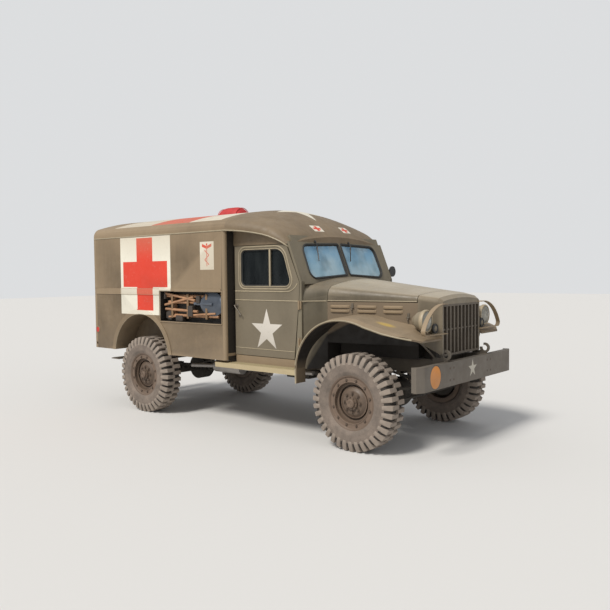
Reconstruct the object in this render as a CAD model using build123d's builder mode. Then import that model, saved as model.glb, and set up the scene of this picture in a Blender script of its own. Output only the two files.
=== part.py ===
from build123d import *

import os
from math import atan2, cos, degrees, radians, sin, sqrt

os.makedirs("parts", exist_ok=True)

# A light 4x4 military ambulance of the 1940s, in millimetres.
# +X points forward, +Y to the vehicle's left and +Z up.
# The origin is on the ground, halfway along the vehicle and on its centre line.

# Driving dimensions
overall_length = 4940
body_width = 1924
wheelbase = 3073
track = 1645
front_overhang = 737
gap = 6
seat_gap = 0.3
pin_clearance = 0.05

nose_x = overall_length / 2
tail_x = -overall_length / 2
front_axle_x = nose_x - front_overhang
rear_axle_x = front_axle_x - wheelbase
wheel_y = track / 2

# Tyres and wheels
tyre_radius = 452
tyre_width = 254
tread_width = 196
bead_radius = 205
bead_width = 160
flange_radius = 240
flange_thickness = 12
rim_thickness = 13
bolt_ring_inner = 165
bolt_ring_out = 60
dome_radius = 150
web_out = 20
drum_radius = 158
drum_in = -48
hub_radius = 62
hub_out = 96
cap_radius = 44
cap_out = 112
spindle_radius = 30

# Front axle, knuckles and steering
axle_z = tyre_radius
kingpin_y = 665
ball_radius = 60
cup_radius = 84
kingpin_radius = 12
backplate_radius = 165
backplate_y = 767
backplate_thickness = 10
arm_length = 200
arm_thickness = 24
arm_width = 40
rod_pin_radius = 8
rod_radius = 13
rod_z = axle_z - 30
front_tube_radius = 38
rear_tube_radius = 45
diff_radius = 150
front_diff_y = -120
rear_diff_y = 0

# Chassis
rail_y = 380
rail_flange = 50
rail_height = 135
rail_wall = 7
rail_top = 765
rail_front_top = 835
kick_start_x = 1180
kick_end_x = 1480
rail_rear_x = tail_x + 208
spring_y = 355
spring_width = 45
leaf_thickness = 9
leaf_count = 4
front_spring_half = 470
front_spring_radius = 1500
rear_spring_half = 600
rear_spring_radius = 2400
bumper_height = 218
bumper_bottom = 612
bumper_straight = 865
bumper_half_width = 945
bumper_end_x = 2433
bumper_depth = 60
bumper_wall = 8
hook_y = 425

# Body
box_rear_x = tail_x + 192
box_front_x = 120
box_half = 954
wall = 40
skirt_z = 726
eaves_z = 2100
roof_thickness = 30
roof_shoulder = 2204
roof_crown = 2362
roof_corner = 110
floor_top = 800
floor_thickness = 30
floor_low = floor_top - floor_thickness
arch_radius = 515
arch_z = 663
arch_lip = 60
wheelhouse_inner = 660
panel = 12
belt_low = 1410
belt_high = 1485
belt_out = 6

# Cab, cowl and hood
cab_half = 815
cab_wall = 40
door_bottom = 788
door_top = 1935
door_rear_x = box_front_x + 16
belt_z = 1440
cowl_rear_x = 1040
hood_rear_x = 1250
hood_seam_z = 1368
nose_seam_x = nose_x - 296
grille_x = nose_x - 99
grille_half = 374
grille_bottom = 868
grille_top = 1345
board_top = 700
board_outer = 940

# Rear doors and step
rear_door_half = 755
rear_door_bottom = 806
rear_door_top = 2075
step_hinge_x = tail_x + 190
step_hinge_z = 560

LEFT = 1
RIGHT = -1


def keep(solid, name):
    """Label a finished piece and write its file."""
    solid.label = name
    export_step(solid, f"parts/{name}.step")


def block(x, y, z, mode=Mode.ADD):
    """Add a block given by its (low, high) pair along each axis."""
    with Locations(((x[0] + x[1]) / 2, (y[0] + y[1]) / 2, (z[0] + z[1]) / 2)):
        Box(x[1] - x[0], y[1] - y[0], z[1] - z[0], mode=mode)


def pair(near, far, side):
    """A (low, high) pair of Y places for distances from the centre line on one side."""
    return tuple(sorted((side * near, side * far)))


def rod_between(start, end, radius, mode=Mode.ADD):
    """Add a round bar between two points."""
    start, end = Vector(*start), Vector(*end)
    with BuildSketch(Plane(origin=start, z_dir=end - start)) as section:
        Circle(radius)
    extrude(section.sketch, amount=(end - start).length, mode=mode)


def arch_face(x, half_width, bottom, shoulder, crown, radius):
    """A face across the vehicle: upright sides, rounded shoulders and a crowned top."""
    with BuildSketch(Plane.YZ.offset(x)) as face:
        with BuildLine():
            Line((-half_width, bottom), (-half_width, shoulder))
            ThreePointArc((-half_width, shoulder), (0, crown), (half_width, shoulder))
            Line((half_width, shoulder), (half_width, bottom))
            Line((half_width, bottom), (-half_width, bottom))
        make_face()
        fillet(face.vertices().group_by(Axis.Y)[-1], radius)
    return face.sketch


def side_plate(points, y, side, radius=0, rounded=()):
    """A plate seen from the side, between two distances from the centre line."""
    with BuildPart() as plate:
        with BuildSketch(Plane.XZ.offset(-side * y[0])) as outline:
            with BuildLine():
                Polyline(*points, close=True)
            make_face()
            if radius:
                fillet([outline.vertices().sort_by_distance((*points[i], 0))[0] for i in rounded], radius)
        extrude(amount=-side * (y[1] - y[0]))
    return plate.part


def left_of(right_part):
    """The left-hand copy of a right-hand piece."""
    with BuildPart() as copy:
        mirror(right_part, about=Plane.XZ)
    return copy.part


# Wheels: a combat rim with a bolted outer ring, a domed centre, a brake drum and a hub.
# The profile runs along the axle: w is the distance out from the wheel's middle.
def wheel_at(x, z, side, y=wheel_y):
    half = bead_width / 2
    rim_inner = bead_radius - rim_thickness
    with BuildPart() as wheel:
        with BuildSketch(Plane.XY):
            for r, w in (
                ((rim_inner, bead_radius), (-half - flange_thickness, half + flange_thickness)),
                ((rim_inner, flange_radius), (half + seat_gap, half + flange_thickness)),
                ((rim_inner, flange_radius), (-half - flange_thickness, -half - seat_gap)),
                ((bolt_ring_inner, rim_inner), (bolt_ring_out - panel, bolt_ring_out)),
                ((hub_radius, rim_inner), (web_out, web_out + panel)),
                ((drum_radius - panel, drum_radius), (drum_in, web_out)),
            ):
                with Locations(((r[0] + r[1]) / 2, (w[0] + w[1]) / 2)):
                    Rectangle(r[1] - r[0], w[1] - w[0])
            with BuildLine():
                Polyline(
                    (spindle_radius, drum_in),
                    (hub_radius, drum_in),
                    (hub_radius, web_out),
                    (dome_radius, web_out + panel),
                    (dome_radius - 8, bolt_ring_out - 10),
                    (dome_radius - 40, bolt_ring_out + 10),
                    (hub_radius, bolt_ring_out + 16),
                    (hub_radius, hub_out),
                    (cap_radius, hub_out),
                    (cap_radius - 4, cap_out),
                    (0, cap_out),
                    (0, bolt_ring_out),
                    (spindle_radius, bolt_ring_out),
                    close=True,
                )
            make_face()
        revolve(axis=Axis.Y)
    where = Location((x, side * y, z), (0, 0, 0 if side == LEFT else 180))
    return wheel.part.moved(where)


def tyre_at(x, z, side, y=wheel_y):
    half = bead_width / 2
    with BuildPart() as tyre:
        with BuildSketch(Plane.XY):
            with BuildLine():
                for s in (-1, 1):
                    Line((bead_radius, s * half), (flange_radius, s * half))
                    Line((flange_radius, s * half), (flange_radius + 8, s * (half + 24)))
                    ThreePointArc(
                        (flange_radius + 8, s * (half + 24)),
                        (332, s * tyre_width / 2),
                        (412, s * (tread_width / 2 + 16)),
                    )
                    Line((412, s * (tread_width / 2 + 16)), (tyre_radius, s * tread_width / 2))
                Line((tyre_radius, -tread_width / 2), (tyre_radius, tread_width / 2))
                Line((bead_radius, -half), (bead_radius, half))
            make_face()
        revolve(axis=Axis.Y)
    return tyre.part.moved(Location((x, side * y, z)))


for name, x, side in (
    ("front_left", front_axle_x, LEFT),
    ("front_right", front_axle_x, RIGHT),
    ("rear_left", rear_axle_x, LEFT),
    ("rear_right", rear_axle_x, RIGHT),
):
    keep(wheel_at(x, axle_z, side), f"wheel_{name}")
    keep(tyre_at(x, axle_z, side), f"tyre_{name}")


# Front axle: a tube with an offset differential and a bored ball at each end.
spring_seat_z = axle_z + front_tube_radius + 2
with BuildPart() as front_axle:
    rod_between((front_axle_x, -kingpin_y, axle_z), (front_axle_x, kingpin_y, axle_z), front_tube_radius)
    with Locations((front_axle_x, -kingpin_y, axle_z), (front_axle_x, kingpin_y, axle_z)):
        Sphere(ball_radius)
    with Locations((front_axle_x, front_diff_y, axle_z)):
        Sphere(diff_radius)
    block(
        (front_axle_x - diff_radius, front_axle_x + diff_radius),
        (front_diff_y + 75, front_diff_y + diff_radius),
        (axle_z - diff_radius, axle_z + diff_radius),
        mode=Mode.SUBTRACT,
    )
    block(
        (front_axle_x - diff_radius, front_axle_x + diff_radius),
        (front_diff_y - diff_radius, front_diff_y - 75),
        (axle_z - diff_radius, axle_z + diff_radius),
        mode=Mode.SUBTRACT,
    )
    rod_between((front_axle_x, -kingpin_y, axle_z), (front_axle_x, kingpin_y, axle_z), front_tube_radius)
    rod_between(
        (front_axle_x - diff_radius - 50, front_diff_y, axle_z),
        (front_axle_x - diff_radius + 40, front_diff_y, axle_z),
        55,
    )
    for side in (LEFT, RIGHT):
        block(
            (front_axle_x - 45, front_axle_x + 45),
            pair(spring_y - spring_width / 2, spring_y + spring_width / 2, side),
            (axle_z, spring_seat_z),
        )
    with Locations((front_axle_x, -kingpin_y, axle_z), (front_axle_x, kingpin_y, axle_z)):
        Cylinder(kingpin_radius + pin_clearance, 4 * ball_radius, mode=Mode.SUBTRACT)
keep(front_axle.part, "front_axle")

# Rear axle: a banjo housing with the backing plates and spindles of the hubs.
rear_seat_z = axle_z + rear_tube_radius + 2
with BuildPart() as rear_axle:
    rod_between((rear_axle_x, -backplate_y, axle_z), (rear_axle_x, backplate_y, axle_z), rear_tube_radius)
    with BuildSketch(Plane.XZ.offset(75 - rear_diff_y)):
        with Locations((rear_axle_x, axle_z)):
            Circle(diff_radius)
    extrude(amount=-150, taper=0)
    rod_between(
        (rear_axle_x + diff_radius - 40, rear_diff_y, axle_z),
        (rear_axle_x + diff_radius + 50, rear_diff_y, axle_z),
        55,
    )
    for side in (LEFT, RIGHT):
        end = side * backplate_y
        rod_between(
            (rear_axle_x, end - side * backplate_thickness, axle_z), (rear_axle_x, end, axle_z), backplate_radius
        )
        rod_between(
            (rear_axle_x, end, axle_z),
            (rear_axle_x, side * (wheel_y + bolt_ring_out - 8), axle_z),
            spindle_radius - pin_clearance,
        )
        block(
            (rear_axle_x - 50, rear_axle_x + 50),
            pair(spring_y - spring_width / 2, spring_y + spring_width / 2, side),
            (axle_z, rear_seat_z),
        )
keep(rear_axle.part, "rear_axle")


# Steering knuckles: a cup round the ball, kingpin ears, backing plate, spindle and steering arm.
def knuckle_at(side):
    y0 = side * kingpin_y
    cup_wall = cup_radius - ball_radius - gap
    cup_open = kingpin_y + 10
    with BuildPart() as knuckle:
        rod_between(
            (front_axle_x, side * cup_open, axle_z), (front_axle_x, side * backplate_y, axle_z), cup_radius
        )
        rod_between(
            (front_axle_x, side * (backplate_y - backplate_thickness), axle_z),
            (front_axle_x, side * backplate_y, axle_z),
            backplate_radius,
        )
        for s in (-1, 1):
            ear = sorted((axle_z + s * (cup_radius - cup_wall), axle_z + s * (cup_radius + 12)))
            block((front_axle_x - 24, front_axle_x + 24), pair(kingpin_y - 26, cup_open + 20, side), ear)
        block(
            (front_axle_x + cup_radius - 20, front_axle_x + arm_length),
            pair(kingpin_y - arm_width / 2, kingpin_y + arm_width / 2, side),
            (axle_z - arm_thickness / 2, axle_z + arm_thickness / 2),
        )
        with Locations((front_axle_x + arm_length, y0, axle_z)):
            Cylinder(arm_width / 2, arm_thickness)
        with Locations((front_axle_x, y0, axle_z)):
            Sphere(ball_radius + gap, mode=Mode.SUBTRACT)
        for s in (-1, 1):
            rod_between(
                (front_axle_x, y0, axle_z + s * (ball_radius - 22)),
                (front_axle_x, y0, axle_z + s * cup_radius),
                kingpin_radius,
            )
        rod_between(
            (front_axle_x + arm_length, y0, rod_z - 12), (front_axle_x + arm_length, y0, axle_z), rod_pin_radius
        )
        rod_between(
            (front_axle_x, side * backplate_y, axle_z),
            (front_axle_x, side * (wheel_y + bolt_ring_out - 8), axle_z),
            spindle_radius - pin_clearance,
        )
    return knuckle.part


keep(knuckle_at(LEFT), "knuckle_left")
keep(knuckle_at(RIGHT), "knuckle_right")

# Tie rod: an eye on each steering arm's pin. The right eye is the linkage's open pivot.
with BuildPart() as tie_rod:
    rod_x = front_axle_x + arm_length
    rod_between((rod_x, -kingpin_y, rod_z), (rod_x, kingpin_y, rod_z), rod_radius)
    with Locations((rod_x, -kingpin_y, rod_z), (rod_x, kingpin_y, rod_z)):
        Cylinder(20, 22)
    with Locations((rod_x, kingpin_y, rod_z)):
        Cylinder(rod_pin_radius + pin_clearance, 60, mode=Mode.SUBTRACT)
    with Locations((rod_x, -kingpin_y, rod_z)):
        Cylinder(rod_pin_radius + 10 * pin_clearance, 60, mode=Mode.SUBTRACT)
keep(tie_rod.part, "tie_rod")


# Leaf springs: each pack is a stack of shorter and shorter leaves with an eye at both ends.
def leaf_pack(x, seat_z, half_length, spring_radius, side, rail_z):
    centre_z = seat_z + leaf_count * leaf_thickness + spring_radius
    y = pair(spring_y - spring_width / 2, spring_y + spring_width / 2, side)
    with BuildPart() as pack:
        for i in range(leaf_count):
            reach = half_length * (1 - i * 0.22)
            inner = spring_radius + i * leaf_thickness
            outer = inner + leaf_thickness
            turn = reach / spring_radius
            top = [(x + inner * sin(a), centre_z - inner * cos(a)) for a in (-turn, 0, turn)]
            low = [(x + outer * sin(a), centre_z - outer * cos(a)) for a in (turn, 0, -turn)]
            with BuildSketch(Plane.XZ.offset(-y[1])):
                with BuildLine():
                    ThreePointArc(*top)
                    Line(top[2], low[0])
                    ThreePointArc(*low)
                    Line(low[2], top[0])
                make_face()
            extrude(amount=y[1] - y[0])
        turn = half_length / spring_radius
        eye_z = centre_z - spring_radius * cos(turn)
        for end in (-1, 1):
            eye_x = x + end * spring_radius * sin(turn)
            rod_between((eye_x, y[0], eye_z), (eye_x, y[1], eye_z), 20)
            block((eye_x - 16, eye_x + 16), y, (eye_z, rail_z))
        block((x - 40, x + 40), y, (seat_z + leaf_count * leaf_thickness - 2, seat_z + 52))
    return pack.part


# Frame: two channel rails kicked up at the front, with crossmembers and towing hooks.
front_rail_x = nose_x - bumper_wall
rail_side = [
    (rail_rear_x, rail_top),
    (kick_start_x, rail_top),
    (kick_end_x, rail_front_top),
    (front_rail_x, rail_front_top),
    (front_rail_x, rail_front_top - rail_height),
    (kick_end_x, rail_front_top - rail_height),
    (kick_start_x, rail_top - rail_height),
    (rail_rear_x, rail_top - rail_height),
]
rail_hollow = [
    (rail_rear_x - 1, rail_top - rail_wall),
    (kick_start_x, rail_top - rail_wall),
    (kick_end_x, rail_front_top - rail_wall),
    (front_rail_x + 1, rail_front_top - rail_wall),
    (front_rail_x + 1, rail_front_top - rail_height + rail_wall),
    (kick_end_x, rail_front_top - rail_height + rail_wall),
    (kick_start_x, rail_top - rail_height + rail_wall),
    (rail_rear_x - 1, rail_top - rail_height + rail_wall),
]
crossmembers = (
    (rail_rear_x, rail_rear_x + 50, rail_top),
    (rear_axle_x + 330, rear_axle_x + 380, rail_top),
    (-300, -250, rail_top),
    (700, 750, rail_top),
    (front_axle_x + 140, front_axle_x + 190, 790 + rail_wall),
    (front_axle_x + 440, front_axle_x + 500, rail_front_top),
)
with BuildPart() as frame:
    for side in (LEFT, RIGHT):
        add(side_plate(rail_side, (rail_y - rail_flange, rail_y), side))
        add(side_plate(rail_hollow, (rail_y - rail_flange - 1, rail_y - rail_wall), side), mode=Mode.SUBTRACT)
    for low_x, high_x, top in crossmembers:
        inner = rail_y - rail_wall
        block((low_x, high_x), (-inner, inner), (top - rail_height + rail_wall, top - rail_wall))
        block(
            (low_x + rail_wall, high_x + 1),
            (-inner + 1, inner - 1),
            (top - rail_height + 2 * rail_wall, top - 2 * rail_wall),
            mode=Mode.SUBTRACT,
        )
    for side in (LEFT, RIGHT):
        block(
            (step_hinge_x - 10, rail_rear_x + 40),
            pair(340, 360, side),
            (step_hinge_z - 22, rail_top - rail_height + 1),
        )
        rod_between(
            (step_hinge_x, side * 340, step_hinge_z), (step_hinge_x, side * 390, step_hinge_z), rod_pin_radius
        )
        for x in (60, 900):
            block((x - 25, x + 25), pair(rail_y - 1, board_outer - 60, side), (board_top - 60, board_top - 40))
keep(frame.part, "frame")

with BuildPart() as leaf_springs:
    for side in (LEFT, RIGHT):
        add(
            leaf_pack(
                front_axle_x,
                spring_seat_z,
                front_spring_half,
                front_spring_radius,
                side,
                rail_front_top - rail_height,
            )
        )
        add(
            leaf_pack(
                rear_axle_x,
                rear_seat_z,
                rear_spring_half,
                rear_spring_radius,
                side,
                rail_top - rail_height,
            )
        )
    add(frame.part, mode=Mode.SUBTRACT)
keep(leaf_springs.part, "leaf_springs")

# Towing hooks on the front of the rails.
hook_z = rail_front_top + 52
hook_x = nose_x - 52
with BuildPart() as tow_hooks:
    for side in (LEFT, RIGHT):
        y = pair(rail_y + 8, rail_y + 30, side)
        rod_between((hook_x, y[0], hook_z), (hook_x, y[1], hook_z), 50)
        block((hook_x - 130, hook_x + 20), y, (rail_front_top - 60, rail_front_top + 24))
        rod_between((hook_x, y[0] - 1, hook_z), (hook_x, y[1] + 1, hook_z), 28, mode=Mode.SUBTRACT)
        block((hook_x - 60, hook_x - 10), (y[0] - 1, y[1] + 1), (hook_z + 8, hook_z + 60), mode=Mode.SUBTRACT)
        block((hook_x - 130, hook_x - 70), pair(rail_y, rail_y + 10, side), (rail_front_top - 60, rail_front_top))
keep(tow_hooks.part, "tow_hooks")

# Front bumper: a channel with swept ends.
with BuildPart() as bumper:
    with BuildSketch(Plane.XY.offset(bumper_bottom)):
        with BuildLine():
            Polyline(
                (nose_x, -bumper_straight),
                (nose_x, bumper_straight),
                (bumper_end_x, bumper_half_width),
                (bumper_end_x - bumper_depth, bumper_half_width - 20),
                (nose_x - bumper_depth, bumper_straight - 10),
                (nose_x - bumper_depth, -bumper_straight + 10),
                (bumper_end_x - bumper_depth, -bumper_half_width + 20),
                (bumper_end_x, -bumper_half_width),
                close=True,
            )
        make_face()
    extrude(amount=bumper_height)
    with BuildSketch(Plane.XY.offset(bumper_bottom + bumper_wall)):
        with BuildLine():
            Polyline(
                (nose_x - bumper_wall, -bumper_straight + 4),
                (nose_x - bumper_wall, bumper_straight - 4),
                (bumper_end_x - bumper_wall, bumper_half_width - 5),
                (bumper_end_x - 2 * bumper_depth, bumper_half_width - 45),
                (nose_x - 2 * bumper_depth, bumper_straight - 30),
                (nose_x - 2 * bumper_depth, -bumper_straight + 30),
                (bumper_end_x - 2 * bumper_depth, -bumper_half_width + 45),
                (bumper_end_x - bumper_wall, -bumper_half_width + 5),
                close=True,
            )
        make_face()
    extrude(amount=bumper_height - 2 * bumper_wall, mode=Mode.SUBTRACT)
    add(frame.part, mode=Mode.SUBTRACT)
    add(tow_hooks.part, mode=Mode.SUBTRACT)
keep(bumper.part, "bumper")

# Rear step: a platform on two arms that folds up about its hinge.
with BuildPart() as rear_step:
    block((tail_x, step_hinge_x - 32), (-600, 600), (step_hinge_z - 30, step_hinge_z - 18))
    for side in (LEFT, RIGHT):
        y = pair(360 + gap, 386, side)
        block((tail_x + 20, step_hinge_x), y, (step_hinge_z - 30, step_hinge_z - gap))
        rod_between((step_hinge_x, y[0], step_hinge_z), (step_hinge_x, y[1], step_hinge_z), 16)
        rod_between(
            (step_hinge_x, y[0] - 1, step_hinge_z),
            (step_hinge_x, y[1] + 1, step_hinge_z),
            rod_pin_radius + pin_clearance,
            mode=Mode.SUBTRACT,
        )
keep(rear_step.part, "rear_step")

# Engine, gearbox, transfer case and propeller shafts.
with BuildPart() as engine:
    block((1330, 2080), (-190, 190), (790, 1300))
keep(engine.part, "engine")

with BuildPart() as drivetrain:
    block((820, 1330), (-130, 130), (740, 960))
    block((300, 620), (front_diff_y - 60, 130), (480, 740))
    rod_between((620, 0, 680), (820, 0, 800), 33)
    rod_between(
        (620, front_diff_y, 560), (front_axle_x - diff_radius - 50, front_diff_y, axle_z), 28
    )
    rod_between((300, 0, 560), (rear_axle_x + diff_radius + 50, rear_diff_y, axle_z), 32)
    block((300, 620), (-rail_y + rail_flange, rail_y - rail_flange), (690, 720))
    add(frame.part, mode=Mode.SUBTRACT)
    add(front_axle.part, mode=Mode.SUBTRACT)
    add(rear_axle.part, mode=Mode.SUBTRACT)
keep(drivetrain.part, "drivetrain")

with BuildPart() as fuel_tank:
    block((-2160, -1640), (-300, 300), (545, rail_top))
    fillet(fuel_tank.edges().filter_by(Axis.Y), 40)
keep(fuel_tank.part, "fuel_tank")

with BuildPart() as exhaust:
    rod_between((-440, -560, 590), (-20, -560, 590), 68)
    rod_between((-20, -560, 590), (900, -440, 600), 24)
    rod_between((-720, -700, 590), (-440, -560, 590), 24)
    block((-250, -230), (-575, -545), (640, floor_low))
keep(exhaust.part, "exhaust")

with BuildPart() as radiator:
    block((2190, 2260), (-300, 300), (rail_front_top - rail_wall, 1330))
keep(radiator.part, "radiator")


# Nose shell: the fixed cowling between the hood and the grille.
def shell(rows, inset, open_front=0):
    """A hollow loft. Each row is x, half width, bottom, shoulder, crown, corner radius."""
    with BuildPart() as body:
        loft([arch_face(*row) for row in rows], ruled=True)
        hollow = []
        for i, (x, half_width, bottom, shoulder, crown, radius) in enumerate(rows):
            x = x - 1 if i == 0 else x + open_front if i == len(rows) - 1 else x
            hollow.append(
                arch_face(x, half_width - inset, bottom - 1, shoulder - inset, crown - inset, radius - inset / 2)
            )
        loft(hollow, ruled=True, mode=Mode.SUBTRACT)
    return body.part


nose_rows = (
    (nose_seam_x, 477, 1000, 1426, 1458, 44),
    (2330, 392, 900, 1400, 1432, 50),
    (grille_x, grille_half, grille_bottom - 4, 1372, 1400, 40),
)
with BuildPart() as nose:
    add(shell(nose_rows, panel, open_front=-panel))
    block(
        (grille_x - 40, grille_x + 10),
        (-grille_half + 14, grille_half - 14),
        (grille_bottom - 10, grille_top),
        mode=Mode.SUBTRACT,
    )
keep(nose.part, "nose")

# Grille: slots between upright bars, one cross bar and the lamp guards.
slot_count = 10
bar_width = 24
grille_depth = 26
with BuildPart() as grille:
    inner = grille_half - 14 - seat_gap
    block((grille_x - grille_depth, grille_x), (-inner, inner), (grille_bottom, grille_top - seat_gap))
    pitch = 2 * inner / slot_count
    for i in range(slot_count):
        y = -inner + (i + 0.5) * pitch
        block(
            (grille_x - 100, grille_x + 1),
            (y - (pitch - bar_width) / 2, y + (pitch - bar_width) / 2),
            (grille_bottom + 20, grille_top - 20),
            mode=Mode.SUBTRACT,
        )
    block((grille_x - 20, grille_x - 8), (-inner + 5, inner - 5), (1104, 1118))
keep(grille.part, "grille")

# Lamp guards: a flat strip from the grille's top corner out round the lamp and back.
guard_thickness = 6
guard_depth = 42
with BuildPart() as lamp_guards:
    for side in (LEFT, RIGHT):
        with BuildSketch(Plane.YZ.offset(grille_x + seat_gap)):
            with BuildLine():
                outer = [
                    ThreePointArc((side * 345, 1352), (side * 640, 1275), (side * 762, 1130)),
                    ThreePointArc((side * 762, 1130), (side * 750, 1094), (side * 715, 1082)),
                    Line((side * 715, 1082), (side * 345, 1078)),
                ]
                Line((side * 345, 1078), (side * 345, 1078 + guard_thickness))
                Line((side * 345, 1078 + guard_thickness), (side * 715, 1082 + guard_thickness))
                ThreePointArc(
                    (side * 715, 1082 + guard_thickness), (side * 745, 1099), (side * (762 - guard_thickness), 1130)
                )
                ThreePointArc(
                    (side * (762 - guard_thickness), 1130), (side * 636, 1270), (side * 345, 1352 - guard_thickness)
                )
                Line((side * 345, 1352 - guard_thickness), (side * 345, 1352))
            make_face()
        extrude(amount=guard_depth)
keep(lamp_guards.part, "lamp_guards")

# Hood sides: flat panels below the hood.
hood_rear_half = 639
side_bottom = 960
with BuildPart() as hood_sides:
    for side in (LEFT, RIGHT):
        with BuildSketch(Plane.XY.offset(side_bottom)):
            with BuildLine():
                Polyline(
                    (hood_rear_x + seat_gap, side * hood_rear_half),
                    (nose_seam_x - seat_gap, side * 477),
                    (nose_seam_x - seat_gap, side * (477 - panel)),
                    (hood_rear_x + seat_gap, side * (hood_rear_half - panel)),
                    close=True,
                )
            make_face()
        extrude(amount=hood_seam_z - gap - side_bottom)
keep(hood_sides.part, "hood_sides")

# Hood: one panel hinged at the cowl.
hood_rows = (
    (hood_rear_x + gap, hood_rear_half, hood_seam_z, 1500, 1578, 100),
    (nose_seam_x - gap, 478, hood_seam_z, 1426, 1458, 44),
)
with BuildPart() as hood:
    add(shell(hood_rows, panel, open_front=1))
keep(hood.part, "hood")

# Inner wings: upright panels beside the engine bay that close the wheel wells.
with BuildPart() as inner_wings:
    for side in (LEFT, RIGHT):
        block((hood_rear_x + 30, 2168), pair(452, 462, side), (rail_front_top, 1180))
        block((kick_end_x, 2168), pair(rail_y - 40, 452, side), (rail_front_top, rail_front_top + 10))
keep(inner_wings.part, "inner_wings")


# Front fenders: a band over the wheel, higher beside the hood than at its outer edge.
def fender_band(y, lift, drop):
    """A side profile of the fender at one distance from the centre line."""
    with BuildSketch(Plane.XZ.offset(y)) as band:
        with BuildLine():
            for t, reverse in ((0, False), (16, True)):
                Line((1080 + t, 575), (1080 + t, 720))
                ThreePointArc(
                    (1080 + t, 720), (1240 + 0.7 * t, 1066 + lift / 2 - 0.7 * t), (1580, 1208 + lift - t)
                )
                ThreePointArc(
                    (1580, 1208 + lift - t), (1740, 1200 + lift - t - drop / 6), (1880, 1160 + lift - t - drop / 3)
                )
                Line((1880, 1160 + lift - t - drop / 3), (2240, 1068 + lift - t - drop))
                Line((2240, 1068 + lift - t - drop), (2385, 1040 - t))
            Line((1080, 575), (1096, 575))
            Line((2385, 1040), (2385, 1024))
        make_face()
    return band.sketch


fender_plan = [
    (1080, 822),
    (hood_rear_x, hood_rear_half + 1),
    (nose_seam_x, 478),
    (2330, 393),
    (2385, 393),
    (2385, 760),
    (2330, 850),
    (2230, 910),
    (2080, 940),
    (1080, 940),
]
with BuildPart() as fender_right:
    loft([fender_band(380, 45, -30), fender_band(880, 20, -10), fender_band(941, 0, 0)], ruled=True)
    with BuildSketch(Plane.XY.offset(500)):
        with BuildLine():
            Polyline(*[(x, -y) for x, y in fender_plan], close=True)
        make_face()
    extrude(amount=900, mode=Mode.INTERSECT)
with BuildPart() as fenders:
    add(fender_right.part)
    mirror(fender_right.part, about=Plane.XZ)
keep(fenders.part, "fenders")

# Headlamps and the small side lamps between them and the grille.
lamp_x = 2325
lamp_y = 585
lamp_z = 1205
with BuildPart() as headlamps:
    for side in (LEFT, RIGHT):
        with BuildSketch(Plane.XY.offset(lamp_z)):
            with BuildLine():
                Polyline(
                    (lamp_x, side * lamp_y),
                    (lamp_x, side * (lamp_y + 96)),
                    (lamp_x - 22, side * (lamp_y + 96)),
                    (lamp_x - 80, side * (lamp_y + 78)),
                    (lamp_x - 125, side * (lamp_y + 40)),
                    (lamp_x - 135, side * lamp_y),
                    close=True,
                )
            make_face()
        revolve(axis=Axis((0, side * lamp_y, lamp_z), (1, 0, 0)))
        rod_between((lamp_x - 60, side * lamp_y, 1080), (lamp_x - 60, side * lamp_y, lamp_z - 60), 16)
        with Locations((2320, side * 470, 1132)):
            Sphere(42)
        rod_between((2320, side * 470, 1040), (2320, side * 470, 1100), 12)
    add(fenders.part, mode=Mode.SUBTRACT)
keep(headlamps.part, "headlamps")

# Running boards, each a tread plate with a turned-down edge.
with BuildPart() as running_boards:
    for side in (LEFT, RIGHT):
        block((-60, 1080 - seat_gap), pair(cab_half - 5, board_outer, side), (board_top - 8, board_top))
        block((-60, 1080 - seat_gap), pair(board_outer - 8, board_outer, side), (board_top - 50, board_top))
        for x in (60, 900):
            block((x - 20, x + 20), pair(cab_half - 5, board_outer - 60, side), (board_top - 40, board_top - 8))
keep(running_boards.part, "running_boards")

# Roof: an arched box roof that runs down over the cab and out over its doors.
roof_rows = (
    (box_front_x, box_half, eaves_z, roof_shoulder, roof_crown, roof_corner),
    (500, 900, 2060, 2150, 2294, 100),
    (760, 850, 1985, 2060, 2156, 84),
    (905, 805, 1880, 1942, 2030, 64),
)
cavity_half = cab_half - cab_wall
with BuildPart() as roof:
    loft([arch_face(*roof_rows[0]), arch_face(box_rear_x, *roof_rows[0][1:])], ruled=True)
    loft([arch_face(*row) for row in roof_rows])
    inner_row = (
        box_half - roof_thickness,
        eaves_z - 10,
        roof_shoulder - roof_thickness,
        roof_crown - roof_thickness,
        roof_corner - roof_thickness / 2,
    )
    loft([arch_face(box_front_x, *inner_row), arch_face(box_rear_x - 1, *inner_row)], ruled=True, mode=Mode.SUBTRACT)
    hollow = []
    for i, (x, half_width, bottom, shoulder, crown, radius) in enumerate(roof_rows):
        x = x - 1 if i == 0 else x + 1 if i == len(roof_rows) - 1 else x
        hollow.append(
            arch_face(x, cavity_half, 1700, shoulder - roof_thickness + 20, crown - roof_thickness, radius)
        )
    loft(hollow, mode=Mode.SUBTRACT)
    for side in (LEFT, RIGHT):
        add(
            side_plate(
                [(box_front_x, 1941), (866, 1941), (760, 2010), (500, 2080), (box_front_x, 2120)],
                (cavity_half, cab_half),
                side,
            )
        )
        block(
            (box_front_x + 1, 912),
            pair(cavity_half - gap, cab_half + gap, side),
            (door_bottom, door_top + gap),
            mode=Mode.SUBTRACT,
        )
keep(roof.part, "roof")

# Cowl, door posts and windscreen frame.
screen_foot = (1062, 1575)
screen_head = (905, 1965)
screen_lean = atan2(screen_foot[0] - screen_head[0], screen_head[1] - screen_foot[1])
screen_thickness = 36
glass_thickness = 6
screen_plane = Plane(
    origin=(screen_foot[0], 0, screen_foot[1]),
    x_dir=(0, 1, 0),
    z_dir=(cos(screen_lean), 0, sin(screen_lean)),
)
screen_height = sqrt((screen_foot[0] - screen_head[0]) ** 2 + (screen_head[1] - screen_foot[1]) ** 2)


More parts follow.
